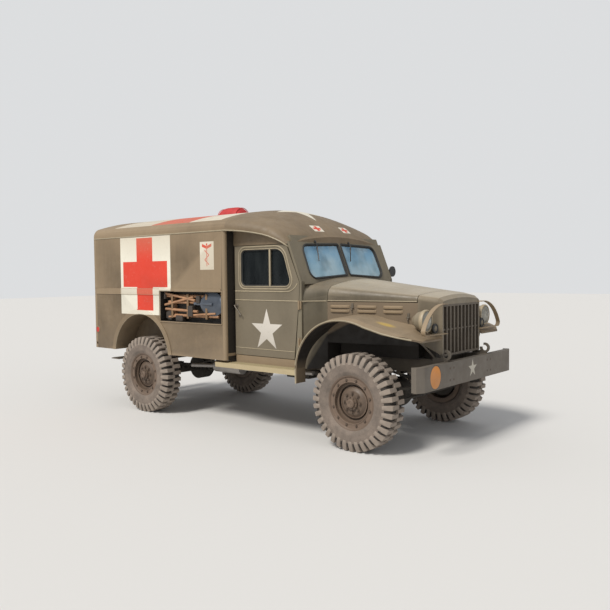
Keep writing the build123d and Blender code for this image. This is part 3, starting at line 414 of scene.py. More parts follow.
body = paint("olive_body", BODY)
looks = {
    "side_wall_left": paint("olive_side_left", BODY, marks=SIDE_MARKS),
    "side_wall_right": paint("olive_side_right", BODY, marks=SIDE_MARKS, painted_shades=[recess_inside]),
    "roof": paint("olive_roof", BODY, marks=ROOF_MARKS, painted_shades=[soffit], dust=0.6),
    "cab_door_left": paint("olive_door_left", DOOR, marks=DOOR_MARKS, dust=0.8),
    "cab_door_right": paint("olive_door_right", DOOR, marks=DOOR_MARKS, dust=0.8),
    "bumper": paint("olive_bumper", (0.088, 0.073, 0.056), marks=BUMPER_MARKS, dust=0.1),
    "fenders": paint("olive_fenders", BODY, marks=FENDER_MARKS, painted_shades=[under_fender]),
    "hood_sides": paint("olive_hood_sides", (0.112, 0.080, 0.047), painted_shades=[apron]),
    "bulkhead": paint("olive_bulkhead", BODY, painted_shades=[ledge]),
    "cowl": paint("olive_cowl", (0.112, 0.093, 0.059), painted_shades=[fender_well]),
    # The hood and the nose get a painted highlight on their tops
    "hood": paint("olive_hood", (0.130, 0.105, 0.068), marks=[(TOP_HIGHLIGHT, painted_top_highlight)], rough=0.45),
    "nose": paint("olive_nose", (0.150, 0.120, 0.078), marks=[(TOP_HIGHLIGHT, painted_top_highlight)], rough=0.45),
    "grille": paint("olive_grille", (0.105, 0.083, 0.060)),
    "running_boards": paint("board_paint", (0.290, 0.235, 0.135), dust=0.5),
    "headlamps": paint("lamp_paint", (0.20, 0.165, 0.112)),
}
chassis = paint("chassis_olive", (0.075, 0.062, 0.045), dust=0.8, pale=0.25)
wheel_look = paint("wheel_brown", (0.100, 0.065, 0.043), dust=0.35)
iron = plain("cast_iron", (0.055, 0.047, 0.038), 0.8)
tyre_look = rubber("dusty_rubber")
# Painted shade for the carcass between the tyre's lugs
tread_gap_shade = plain("tread_gaps", (0.055, 0.047, 0.040), 0.95, scale=9.0, vary=0.6)
glass_look = glass("window_glass")
screen_sky_reflection = sky_reflection_glass("windscreen_sky")
# The inner wings in a dark colour: painted shade in the wheel wells
inner_wing_shade = plain("wheel_well", PAINTED_SHADE, 0.9)
canvas = plain("olive_canvas", (0.16, 0.15, 0.10), 0.92, scale=90.0, bump=0.001)
red_paint = plain("ventilator_red", (0.52, 0.038, 0.036))
black = plain("black_paint", (0.02, 0.02, 0.02), 0.45)
wood = plain("ash_handles", (0.37, 0.195, 0.098), 0.55, vary=0.65, scale=11.0)
steel = plain("dull_steel", (0.33, 0.31, 0.29), 0.5, 0.8)
handle_look = plain("worn_handles", (0.12, 0.10, 0.075), 0.45, 0.2)
lamp_enamel = plain("lamp_enamel", (0.36, 0.29, 0.19), 0.45)
# Beads, rails and mouldings in the body's olive made paler: a painted highlight
bead_highlight = plain("light_bead", (0.33, 0.275, 0.185), 0.5)
rubber_seal = plain("window_rubber", (0.022, 0.022, 0.02))
bolt_look = plain("rim_bolts", (0.085, 0.058, 0.040))
board_look = plain("board_treads", (0.31, 0.255, 0.145), 0.75, scale=24.0)
blade_look = plain("shovel_steel", (0.085, 0.100, 0.125), 0.35, 0.3)
strap_look = plain("leather_straps", (0.20, 0.12, 0.06), 0.7, scale=60.0)
clamp_look = plain("tool_clamps", (0.045, 0.034, 0.026), 0.55)
core_look = plain("radiator_fins", (0.010, 0.008, 0.007), 0.8)
red_lens = plain("red_lens", (0.50, 0.03, 0.02), 0.18)
lens_look = plain("lamp_lens", (0.30, 0.29, 0.25), 0.12, 0.2)

# The looks of nodes that have none of their own above, by how their names start
families = (
    (("tyre_", "spare_tyre"), tyre_look),
    (("wheel_", "spare_wheel"), wheel_look),
    ("windscreen_glass", screen_sky_reflection),
    (("cab_glass", "rear_glass"), glass_look),
    (("seats", "benches"), canvas),
    (("engine", "drivetrain", "front_axle", "rear_axle", "leaf_springs", "radiator"), iron),
    (("knuckle", "tie_rod"), iron),
    (("frame", "tow_hooks", "fuel_tank", "rear_step"), chassis),
    ("inner_wings", inner_wing_shade),
    ("exhaust", steel),
    ("ventilator", red_paint),
    (("mirror", "steering_wheel"), black),
    ("pioneer_tools", wood),
    ("tail_lamps", lamp_enamel),
    ("", body),
)
for name, node in nodes.items():
    family = next(look for starts, look in families if name.startswith(starts))
    node.data.materials.clear()
    node.data.materials.append(looks.get(name, family))


# Details
class Piece:
    """One joined mesh of many small parts, placed in the vehicle's own metres."""

    def __init__(self, name, look, body_name="truck"):
        self.name, self.looks, self.body = name, [look], body_name
        self.bm = bmesh.new()

    def rings(self, rings, closed=False):
        """Skin a list of equal rings of points, each ring going round the form."""
        loops = [[self.bm.verts.new(point) for point in ring] for ring in rings]
        count = len(loops[0])
        pairs = list(zip(loops, loops[1:])) + ([(loops[-1], loops[0])] if closed else [])
        for one, two in pairs:
            for i in range(count):
                j = (i + 1) % count
                self.bm.faces.new((one[i], one[j], two[j], two[i]))
        if not closed:
            self.bm.faces.new(loops[0][::-1])
            self.bm.faces.new(loops[-1])

    def lathe(self, origin, axis, profile, segments=32, closed=False):
        """Turn (radius, height) points about an axis from an origin."""
        axis = Vector(axis).normalized()
        u = axis.orthogonal().normalized()
        v = axis.cross(u)
        rings = []
        for radius, height in profile:
            foot = Vector(origin) + axis * height
            angles = [2 * math.pi * i / segments for i in range(segments)]
            rings.append([foot + (u * math.cos(a) + v * math.sin(a)) * max(radius, 1e-5) for a in angles])
        self.rings(rings, closed)

    def rod(self, a, b, radius):
        """A round bar with chamfered ends."""
        a, b = Vector(a), Vector(b)
        length, e = (b - a).length, radius * 0.25
        profile = ((radius - e, 0), (radius, e), (radius, length - e), (radius - e, length))
        self.lathe(a, b - a, profile, 12)

    def bolts(self, points, axis, radius, height):
        """Six-sided bolt heads, each on a washer."""
        washer = ((radius * 1.45, -0.001), (radius * 1.45, height * 0.18))
        head = ((radius, 0), (radius, height * 0.8), (radius * 0.75, height), (0, height * 1.02))
        for point in points:
            self.lathe(point, axis, washer, 14)
            self.lathe(point, axis, head, 6)

    def tube(self, points, radius, segments=8, closed=False, flat=1.0, up=(0, 0, 1)):
        """A round or flattened bar along a line of points."""
        points = [Vector(point) for point in points]
        angles = [2 * math.pi * j / segments for j in range(segments)]
        rings = []
        for i, point in enumerate(points):
            before = points[i - 1] if i or closed else point
            after = points[(i + 1) % len(points)] if i + 1 < len(points) or closed else point
            along = (after - before).normalized()
            side = along.cross(Vector(up))
            side = side.normalized() if side.length > 1e-4 else along.orthogonal().normalized()
            over = side.cross(along)
            rings.append(
                [point + side * math.cos(a) * radius + over * math.sin(a) * radius * flat for a in angles]
            )
        self.rings(rings, closed)

    def box(self, x, y, z, bevel=0.002):
        """A block with rounded edges from its (low, high) ranges."""
        middle = Vector(((x[0] + x[1]) / 2, (y[0] + y[1]) / 2, (z[0] + z[1]) / 2))
        size = (abs(x[1] - x[0]), abs(y[1] - y[0]), abs(z[1] - z[0]))
        matrix = Matrix.Translation(middle) @ Matrix.Diagonal((*size, 1.0))
        made = bmesh.ops.create_cube(self.bm, size=1.0, matrix=matrix)
        if bevel:
            edges = [edge for vert in made["verts"] for edge in vert.link_edges]
            self.soften(edges, min(bevel, min(size) * 0.4))

    def slab(self, points, axis, depth, bevel):
        """A plate from its outline's points, pushed along an axis."""
        base = [self.bm.verts.new(point) for point in points]
        top = [self.bm.verts.new(Vector(point) + Vector(axis).normalized() * depth) for point in points]
        faces = [self.bm.faces.new(base[::-1]), self.bm.faces.new(top)]
        for i in range(len(base)):
            j = (i + 1) % len(base)
            faces.append(self.bm.faces.new((base[i], base[j], top[j], top[i])))
        self.soften([edge for face in faces for edge in face.edges], bevel)

    def soften(self, edges, bevel):
        """Round edges off, each of them once."""
        once = list(dict.fromkeys(edges))
        bmesh.ops.bevel(self.bm, geom=once, offset=bevel, segments=2, profile=0.6, affect="EDGES")

    def done(self):
        bmesh.ops.recalc_face_normals(self.bm, faces=self.bm.faces)
        for face in self.bm.faces:
            face.smooth = True
        for edge in self.bm.edges:
            edge.smooth = len(edge.link_faces) == 2 and edge.calc_face_angle(0.0) < 0.7
        mesh = bpy.data.meshes.new(self.name)
        self.bm.to_mesh(mesh)
        self.bm.free()
        for look in self.looks:
            mesh.materials.append(look)
        thing = bpy.data.objects.new(self.name, mesh)
        scene.collection.objects.link(thing)
        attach(thing, self.body)
        return thing


def arc(a, b, c, steps):
    """Points on the circle from a through b to c, as 2-D pairs."""
    (ax, ay), (bx, by), (cx, cy) = a, b, c
    d = 2 * (ax * (by - cy) + bx * (cy - ay) + cx * (ay - by))
    a2, b2, c2 = ax * ax + ay * ay, bx * bx + by * by, cx * cx + cy * cy
    ox = (a2 * (by - cy) + b2 * (cy - ay) + c2 * (ay - by)) / d
    oy = (a2 * (cx - bx) + b2 * (ax - cx) + c2 * (bx - ax)) / d
    radius = math.hypot(ax - ox, ay - oy)
    start, middle, end = (math.atan2(y - oy, x - ox) for x, y in (a, b, c))
    turn = (end - start) % (2 * math.pi)
    if (middle - start) % (2 * math.pi) > turn:
        turn -= 2 * math.pi
    angles = [start + turn * i / steps for i in range(steps + 1)]
    return [(ox + radius * math.cos(angle), oy + radius * math.sin(angle)) for angle in angles]


def rounded(corners, steps=6):
    """A closed outline from (x, y, radius) corners, as 2-D pairs."""
    points = []
    for i, (x, y, radius) in enumerate(corners):
        here = Vector((x, y))
        back = (Vector(corners[i - 1][:2]) - here).normalized()
        ahead = (Vector(corners[(i + 1) % len(corners)][:2]) - here).normalized()
        half = back.angle(ahead) / 2
        reach = radius / math.tan(half)
        centre = here + (back + ahead).normalized() * (radius / math.sin(half))
        first, last = here + back * reach, here + ahead * reach
        middle = centre + (here - centre).normalized() * radius
        points += arc(tuple(first), tuple(middle), tuple(last), steps)
    return points


def grown(outline, by):
    """The closed outline pushed out by a distance."""
    result = []
    for i, point in enumerate(outline):
        before, after = Vector(outline[i - 1]), Vector(outline[(i + 1) % len(outline)])
        along = (after - before).normalized()
        result.append((point[0] + along.y * by, point[1] - along.x * by))
    return result


def on_circle(x, y, z, radius, count, phase=0.0):
    """Points on an upright circle that faces sideways."""
    angles = [phase + 2 * math.pi * i / count for i in range(count)]
    return [(x + radius * math.cos(a), y, z + radius * math.sin(a)) for a in angles]


def half_turn(steps):
    """Angles from 0 to pi."""
    return [math.pi * i / steps for i in range(steps + 1)]


def at_y(y, outline):
    """Pairs of X and Z as points at one Y."""
    return [(x, y, z) for x, z in outline]


def on_skin(node_name, point):
    """The point of a CAD node's surface nearest to a point."""
    return nodes[node_name].closest_point_on_mesh(Vector(point))[1]


# Wheels: bolts and rings on the rim, bolts on the centre and the hub, a valve, and the lugged tyre
wheels = [
    ("front_left", FRONT_AXLE_X, 1, AXLE_Z, "wheel_front_left"),
    ("front_right", FRONT_AXLE_X, -1, AXLE_Z, "wheel_front_right"),
    ("rear_left", REAR_AXLE_X, 1, AXLE_Z, "wheel_rear_left"),
    ("rear_right", REAR_AXLE_X, -1, AXLE_Z, "wheel_rear_right"),
    ("spare", SPARE_X, 1, SPARE_Z, "truck"),
]
# Profiles as (radius, distance out from the wheel's middle)
INNER_RING = ((0.190, 0.0900), (0.191, 0.0950), (0.196, 0.0965), (0.201, 0.0905))
RIM_LIP = (
    (0.234, 0.0905), (0.238, 0.0975), (0.246, 0.1030), (0.2545, 0.1035),
    (0.2575, 0.0985), (0.254, 0.0930), (0.243, 0.0880),
)
CENTRE_RING = ((0.149, 0.030), (0.1495, 0.046), (0.145, 0.0525), (0.139, 0.0535), (0.139, 0.030))
HUB_CAP = ((0.0, 0.1120), (0.012, 0.1130), (0.030, 0.1165), (0.034, 0.1120))
CARCASS = [
    (0.206, 0.080), (0.241, 0.082), (0.249, 0.099), (0.260, 0.1078), (0.285, 0.1165), (0.293, 0.1195),
    (0.301, 0.1185), (0.322, 0.1212), (0.345, 0.1212), (0.372, 0.1165), (0.398, 0.108), (0.414, 0.098),
    (0.424, 0.082), (0.427, 0.040),
]
# A lug's path over the tyre, at its foot and at its top, and half its width as an angle
LUG_IN = [(0.418, -0.006), (0.418, 0.060), (0.410, 0.082), (0.395, 0.098), (0.372, 0.106), (0.350, 0.110)]
LUG_OUT = [
    (0.4512, -0.006), (0.4512, 0.060), (0.4500, 0.097), (0.4150, 0.1115), (0.3800, 0.1225), (0.3520, 0.1238),
]
LUG_HALF = [0.046, 0.048, 0.053, 0.056, 0.056, 0.046]
# Its section as (share of the half width, share of the height)
LUG_SECTION = ((-1.12, 0), (-1.0, 0.82), (-0.82, 1), (0.82, 1), (1.0, 0.82), (1.12, 0))
LUGS = 36
# Painted shade: the carcass is dark between the lugs, from this radius out
TREAD_FROM = 0.368


def tyre(name, x, side, z, body_name):
    """A lugged tyre: a carcass and two rows of staggered bars that run down its shoulders."""
    parts = Piece("lugged_tyre_" + name, tyre_look, body_name)
    middle = Vector((x, side * WHEEL_Y, z))
    profile = CARCASS + [(r, -w) for r, w in CARCASS[::-1]]
    parts.lathe(middle, LEFTWARD, profile, 96, closed=True)
    parts.looks.append(tread_gap_shade)
    for face in parts.bm.faces:
        centre = face.calc_center_median() - middle
        face.material_index = int(math.hypot(centre.x, centre.z) > TREAD_FROM)
    for row in (-1, 1):
        for i in range(LUGS):
            at = 2 * math.pi * (i + (0.5 if row > 0 else 0.0)) / LUGS
            rings = []
            for (r_in, w_in), (r_out, w_out), half in zip(LUG_IN, LUG_OUT, LUG_HALF):
                ring = []
                for share, height in LUG_SECTION:
                    angle = at + share * half
                    r = r_in + (r_out - r_in) * height
                    w = w_in + (w_out - w_in) * height
                    ring.append(middle + Vector((r * math.cos(angle), row * w, r * math.sin(angle))))
                rings.append(ring)
            parts.rings(rings)
    return parts.done()


for name, x, side, z, body_name in wheels:
    out = (0, side, 0)
    parts = Piece("rim_bolts_" + name, bolt_look, body_name)
    parts.bolts(on_circle(x, side * (WHEEL_Y + 0.0915), z, 0.212, 12, 0.26), out, 0.0105, 0.013)
    parts.bolts(on_circle(x, side * (WHEEL_Y + 0.0735), z, 0.088, 8), out, 0.0115, 0.020)
    parts.bolts(on_circle(x, side * (WHEEL_Y + 0.0955), z, 0.053, 8, 0.2), out, 0.0055, 0.008)
    valve = [(x + 0.178, side * (WHEEL_Y + reach), z + 0.02) for reach in (0.05, 0.098)]
    parts.rod(*valve, 0.005)
    parts.done()
    parts = Piece("rim_rings_" + name, wheel_look, body_name)
    middle = (x, side * WHEEL_Y, z)
    for profile in (INNER_RING, RIM_LIP, CENTRE_RING):
        parts.lathe(middle, out, profile, 72, closed=True)
    parts.lathe(middle, out, HUB_CAP)
    parts.done()
    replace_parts(tyre(name, x, side, z, body_name), "spare_tyre" if name == "spare" else "tyre_" + name)

# Lamps: headlamp rims and fluted lenses, marker lamps, red lenses and the side lamps' holders
LAMP_RIM = ((0.098, -0.022), (0.102, -0.016), (0.103, 0.002), (0.099, 0.011), (0.091, 0.012), (0.088, 0.004))
LAMP_LENS = ((0.0905, 0.003), (0.0895, 0.006), (0.072, 0.014), (0.050, 0.019), (0.025, 0.0225), (0.0, 0.0235))
MARKER = (
    (0.030, 0.030), (0.043, 0.012), (0.046, 0.016), (0.046, 0.034),
    (0.040, 0.038), (0.036, 0.034), (0.0, 0.036),
)
HOLDER = ((0.044, -0.001), (0.044, 0.003), (0.040, 0.0062), (0.034, 0.0062))
SIDE_LAMP_X, SIDE_LAMP_Z = -2.228, 0.956
# Half a flute's height, and its radians for each metre across the lens
FLUTE_HEIGHT, FLUTE_TURN = 0.0012, 520
for tag, side in SIDES:
    out = (0, side, 0)
    lamp_at = Vector((2.325, side * 0.585, 1.205))
    rim = Piece("headlamp_rim_" + tag, lamp_enamel)
    rim.lathe(lamp_at, FORWARD, LAMP_RIM, 48, closed=True)
    rim.box((2.318, 2.336), (side * 0.585 - 0.006, side * 0.585 + 0.006), (1.098, 1.114))
    rim.done()
    lens = Piece("headlamp_lens_" + tag, lens_look)
    rings = []
    for radius, height in LAMP_LENS:
        ring = []
        for y, _, z in on_circle(0, 0, 0, radius, 96):
            flute = FLUTE_HEIGHT * math.cos(y * FLUTE_TURN)
            ring.append(lamp_at + Vector((height + flute, y, z)))
        rings.append(ring)
    lens.rings(rings)
    lens.done()
    small = Piece("marker_lamp_" + tag, black)
    small.lathe((2.320, side * 0.470, 1.132), FORWARD, MARKER)
    small.done()
    lens = Piece("tail_lens_" + tag, red_lens)
    for place, axis, radius in (
        ((SIDE_LAMP_X, side * (BOX_HALF + 0.0055), SIDE_LAMP_Z), out, 0.036),
        ((-2.328, side * 0.860, 0.950), BACKWARD, 0.040),
    ):
        lens.lathe(place, axis, ((radius, -0.004), (radius, 0.0), (radius * 0.8, 0.0012), (0.0, 0.0018)))
    lens.done()
    holder = Piece("side_lamp_holder_" + tag, body)
    holder.lathe((SIDE_LAMP_X, side * BOX_HALF, SIDE_LAMP_Z), out, HOLDER)
    holder.done()

# Sides: what the fenders, the cab doors, the hood and the box have on the left and the right
# The fender's edge as (X, Z), and its plan as (X, Y) up to the same X
FENDER_EDGE = [
    (1.0835, 0.577),
    *arc((1.080, 0.720), (1.240, 1.066), (1.580, 1.208), 22),
    *arc((1.580, 1.208), (1.740, 1.200), (1.880, 1.160), 12)[1:],
    (1.98, 1.134), (2.08, 1.109), (2.155, 1.093), (2.230, 1.079), (2.280, 1.068), (2.330, 1.058),
]
FENDER_PLAN = [(1.0, 0.940), (2.080, 0.940), (2.230, 0.910), (2.330, 0.850)]
DOOR_WINDOW = rounded(
    [(0.227, 1.516, 0.060), (0.935, 1.516, 0.060), (0.815, 1.893, 0.130), (0.227, 1.893, 0.060)], 8
)
# The cab door's upper moulding, which runs level and then turns up at the front
DOOR_UPPER = [
    (0.141, 1.461), (0.500, 1.461), (0.820, 1.461), *arc((0.860, 1.462), (0.950, 1.482), (1.012, 1.545), 8),
]
HANDLE_BASE = ((0.022, -0.001), (0.022, 0.004), (0.013, 0.008), (0.011, 0.034))
LOCK = ((0.016, -0.001), (0.016, 0.004), (0.010, 0.007), (0.0, 0.0075))
# The door handle's grip as (X, distance out, Z)
GRIP = (
    (0.158, 0.034, 1.312), (0.180, 0.040, 1.290), (0.215, 0.034, 1.252), (0.243, 0.034, 1.222),
    (0.252, 0.034, 1.212),
)
MOULDING_Z = 1.368
# The front of the drip rail, over the cab, as (X, Y, Z)
DRIP_FRONT = (
    (0.12, 0.954, 2.100), (0.25, 0.940, 2.092), (0.38, 0.921, 2.078), (0.50, 0.900, 2.060),
    (0.60, 0.882, 2.038), (0.68, 0.867, 2.014), (0.76, 0.850, 1.985), (0.81, 0.838, 1.961),
    (0.86, 0.823, 1.929), (0.900, 0.808, 1.888),
)
# Forward of this the drip rail is laid on the roof's skin
ROOF_BENDS_X = 0.1
HINGE_X, HINGE_Y = 1.037, 0.8265
ARCH_RADIUS, ARCH_Z = 0.5185, 0.663
RIVET = ((0.006, 0), (0.0055, 0.002), (0.003, 0.0035), (0, 0.0038))


def fender_half(x):
    """How far out the fender's edge is at an X."""
    for (x0, y0), (x1, y1) in zip(FENDER_PLAN, FENDER_PLAN[1:]):
        if x <= x1:
            return y0 + (y1 - y0) * (x - x0) / (x1 - x0)


def hood_side(x, side):
    """A point on the hood side's outer face, at an X."""
    return Vector((x, side * (0.639 - (x - 1.250) * 0.17532), 0.0))


def cab_door(tag, side):
    """The mouldings, window seal, window bar and handle of a cab door."""
    door, out = "cab_door_" + tag, (0, side, 0)
    trim = Piece("door_mouldings_" + tag, bead_highlight, door)
    skin = side * (CAB_HALF + 0.0005)
    trim.tube(at_y(skin, DOOR_UPPER), 0.0065, flat=0.9, up=LEFTWARD)
    trim.tube([(x, skin, MOULDING_Z) for x in (0.141, 0.4, 0.7, 1.022)], 0.0055, up=LEFTWARD)
    trim.tube([(x, skin, 0.862) for x in (0.141, 0.5, 0.970)], 0.0035, up=LEFTWARD)
    trim.tube(at_y(skin, grown(DOOR_WINDOW, 0.030)), 0.008, 10, closed=True, flat=0.85, up=LEFTWARD)
    trim.tube(at_y(skin, grown(DOOR_WINDOW, 0.004)), 0.005, closed=True, up=LEFTWARD)
    trim.done()
    seal = Piece("door_window_seal_" + tag, rubber_seal, door)
    seal.tube(at_y(side * 0.800, grown(DOOR_WINDOW, -0.004)), 0.009, closed=True, up=LEFTWARD)
    seal.done()
    bar = Piece("door_window_bar_" + tag, bead_highlight, door)
    bar.box((0.630, 0.652), (side * 0.806, side * 0.816), (1.512, 1.896), 0.004)
    bar.done()
    handle = Piece("door_handle_" + tag, handle_look, door)
    handle.lathe((0.163, side * CAB_HALF, 1.306), out, HANDLE_BASE, 20)
    handle.tube([(x, side * (CAB_HALF + reach), z) for x, reach, z in GRIP], 0.0085, 10, flat=0.7)
    handle.lathe((0.205, side * CAB_HALF, 1.200), out, LOCK, 20)
    handle.done()


def hood_latches(tag, side):
    """Two toggle latches on a hood side."""
    clip = Piece("hood_latches_" + tag, handle_look)
    for x, z in ((1.520, 1.335), (2.085, 1.250)):
        y = hood_side(x, side).y + side * 0.002
        hook_y, hook_z = y + side * 0.007, z - 0.026
        lever = ((x, hook_y, hook_z), (x, y + side * 0.014, z - 0.050), (x, y + side * 0.008, z - 0.078))
        clip.box((x - 0.012, x + 0.012), (y - 0.004, y + 0.004), (z - 0.030, z + 0.014))
        clip.rod((x - 0.018, hook_y, hook_z), (x + 0.018, hook_y, hook_z), 0.006)
        clip.tube(lever, 0.005)
    clip.done()


def hood_louvres(tag, side):
    """Three pairs of louvres pressed out of a hood side."""
    louvres = Piece("hood_louvres_" + tag, body)
    for x0, x1 in ((1.285, 1.488), (1.571, 1.766), (1.838, 2.030)):
        a, b = hood_side(x0, side), hood_side(x1, side)
        for z0, z1 in ((1.303, 1.331), (1.261, 1.290)):
            rows = []
            for t in (0.0, 0.05, 0.12, 0.88, 0.95, 1.0):
                depth = 0.004 + 0.013 * min(1.0, min(t, 1 - t) / 0.12)
                section = (
                    (-0.003, z1), (depth * 0.7, z1 - 0.006),
                    (depth, z0 + 0.006), (depth * 0.85, z0), (-0.003, z0),
                )
                here = a + (b - a) * t
                rows.append([here + Vector((0, side * reach, z)) for reach, z in section])
            louvres.rings(rows)
    louvres.done()


def belt(tag, side):
    """The raised belt along a side wall, stepped round the tool recess on the right."""
    parts = Piece("belt_" + tag, looks["side_wall_" + tag])
    last = -0.970 if side < 0 else -0.822
    for z in (1.4815, 1.4135):
        parts.tube([(x, side * (BOX_HALF + 0.0038), z) for x in (-2.268, last)], 0.0040, up=LEFTWARD)
    if side < 0:
        parts.box((-1.701, -0.9745), (-0.960, -0.950), (1.410, 1.485), 0.003)
        parts.box((-0.9750, -0.699), (-0.960, -0.950), (1.460, 1.485), 0.003)
    else:
        parts.box((-1.701, -0.822), (0.950, 0.960), (1.410, 1.485), 0.003)
    parts.done()


for tag, side in SIDES:
    bead = Piece("fender_bead_" + tag, bead_highlight)
    points = [on_skin("fenders", (x, side * fender_half(x), z)) for x, z in FENDER_EDGE]
    bead.tube([p + Vector((0, 0, -0.004)) for p in points], 0.0075, 10)
    bead.done()
    cab_door(tag, side)
    trim = Piece("cowl_moulding_" + tag, bead_highlight)
    line = ((1.068, 0.815), (1.11, 0.76), (1.15, 0.725), (1.20, 0.685), (1.243, 0.645))
    trim.tube([on_skin("cowl", (x, side * y, MOULDING_Z)) for x, y in line], 0.0055)
    trim.done()
    seam = Piece("hood_beads_" + tag, bead_highlight, "hood")
    seam.tube([(x, side * y, 1.3725) for x, y in ((1.252, 0.6385), (1.7, 0.5605), (2.165, 0.4795))], 0.0042)
    seam.done()
    hood_latches(tag, side)
    rail = Piece("drip_rail_" + tag, bead_highlight)
    line = [(-2.270 + 0.12 * i, side * (BOX_HALF + 0.0005), 2.100) for i in range(20)]
    line += [(x, side * y, z) for x, y, z in DRIP_FRONT]
    placed = [Vector(p) if p[0] < ROOF_BENDS_X else on_skin("roof", p) for p in line]
    rail.tube([p + Vector((0, 0, 0.004)) for p in placed], 0.0072)
    rail.done()
    hood_louvres(tag, side)
    belt(tag, side)
    rivets = Piece("body_rivets_" + tag, body)
    for x in [-2.255 + 0.11 * i for i in range(21)]:
        if abs(x - REAR_AXLE_X) > 0.60:
            rivets.lathe((x, side * (BOX_HALF - 0.0005), 0.742), (0, side, 0), RIVET, 10)
    rivets.done()
    hinges = Piece("door_hinges_" + tag, body)
    for z in (0.960, 1.330):
        hinges.rod((HINGE_X, side * HINGE_Y, z - 0.045), (HINGE_X, side * HINGE_Y, z + 0.045), 0.0105)
        hinges.box((1.042, 1.064), (side * 0.8145, side * 0.8225), (z - 0.040, z + 0.040))
    hinges.done()
    edge = Piece("wheel_arch_bead_" + tag, bead_highlight)
    angles = [math.radians(8 + 4.1 * i) for i in range(41)]
    curve = [(REAR_AXLE_X + ARCH_RADIUS * math.cos(a), ARCH_Z + ARCH_RADIUS * math.sin(a)) for a in angles]
    edge.tube(at_y(side * (BOX_HALF + 0.0035), curve), 0.005, up=LEFTWARD)
    edge.done()
    board = Piece("running_board_treads_" + tag, board_look)
    for i in range(7):
        y = side * (0.665 + 0.040 * i)
        board.box((0.13 if i else 0.2, 1.075), (y - 0.013, y + 0.013), (0.6995, 0.7045))
    board.done()

# Windscreen: rubber round each pane, and wipers with their arms
foot, head = Vector((1.062, 0, 1.575)), Vector((0.905, 0, 1.965))
rise = (head - foot).normalized()
outward = Vector((rise.z, 0, -rise.x))


def on_screen(y, v, lift):
    """A point at a Y, a way v up the windscreen's slope, lifted off it."""
    return foot + rise * v + outward * lift + Vector((0, y, 0))


seal = Piece("windscreen_seals", rubber_seal)
for side in (-1, 1):
    corners = [
        (side * 0.018, 0.046, 0.025), (side * 0.655, 0.008, 0.090),
        (side * 0.640, 0.3904, 0.090), (side * 0.018, 0.4104, 0.025),
    ]
    outline = rounded(corners if side > 0 else corners[::-1])
    for lift, inset, radius in ((0.001, -0.002, 0.0105), (-0.012, -0.010, 0.010)):
        seal.tube([on_screen(y, v, lift) for y, v in grown(outline, inset)], radius, closed=True)
seal.done()
PIVOT = ((0.014, 0), (0.014, 0.010), (0.009, 0.014), (0, 0.015))
wiper = Piece("windscreen_wipers", black)
for pivot, tip in ((-0.405, -0.452), (0.180, 0.095)):
    middle = (pivot + tip) / 2
    arm = ((pivot, 0.424, 0.014), (pivot - 0.010, 0.36, 0.022), (middle, 0.30, 0.020))
    rubber_blade = ((pivot - 0.012, 0.360, 0.013), (middle, 0.285, 0.012), (tip, 0.205, 0.013))
    wiper.lathe(on_screen(pivot, 0.424, 0.0), outward, PIVOT, 16)
    wiper.tube([on_screen(*point) for point in arm], 0.004)
    wiper.tube([on_screen(*point) for point in rubber_blade], 0.006, flat=1.6)
wiper.done()

# Tool recess: a raised lip, a dished shovel blade, straps, handles, and clamps with an axe head
lip = Piece("recess_lip", body)
outline = rounded(
    [(-0.968, 1.104, 0.012), (0.073, 1.104, 0.012), (0.073, 1.460, 0.012), (-0.968, 1.460, 0.012)], 4
)
lip.tube(at_y(-(BOX_HALF + 0.0005), outline), 0.0065, closed=True, up=LEFTWARD)
lip.done()

SHOVEL_Z, SHOVEL_THICK = 1.318, 0.004
LENGTHS, WIDTHS = 12, 6
blade = Piece("shovel_blade", blade_look)
rows = []
for i in range(LENGTHS + 1):
    t = i / LENGTHS
    point_end = math.sqrt(max(0.0, 1 - max(0.0, (t - 0.55) / 0.45) ** 2.2))
    half = 0.124 * point_end * (0.55 + 0.45 * min(1.0, t / 0.22)) + 0.004
    row = []
    for j in range(WIDTHS + 1):
        dish = 0.030 * (j / WIDTHS - 0.5) ** 2 * 4 * (1 - 0.4 * t)
        row.append((-0.300 + 0.345 * t, -0.921 + dish - 0.004, SHOVEL_Z + half * (2 * j / WIDTHS - 1)))
    rows.append(row)
grid = [[blade.bm.verts.new(point) for point in row] for row in rows]
under = [[blade.bm.verts.new((x, y + SHOVEL_THICK, z)) for x, y, z in row] for row in rows]
make = blade.bm.faces.new
for i in range(LENGTHS):
    for j in range(WIDTHS):
        make((grid[i][j], grid[i + 1][j], grid[i + 1][j + 1], grid[i][j + 1]))
        make((under[i][j], under[i][j + 1], under[i + 1][j + 1], under[i + 1][j]))
for i in range(LENGTHS):
    for j in (0, WIDTHS):
        make((grid[i][j], under[i][j], under[i + 1][j], grid[i + 1][j]))
for j in range(WIDTHS):
    for i in (0, LENGTHS):
        make((grid[i][j], grid[i][j + 1], under[i][j + 1], under[i][j]))
socket = ((-0.420, -0.900), (-0.300, -0.906), (-0.200, -0.917), (-0.100, -0.923))
blade.tube([(x, y, SHOVEL_Z) for x, y in socket], 0.019, 12)
blade.done()

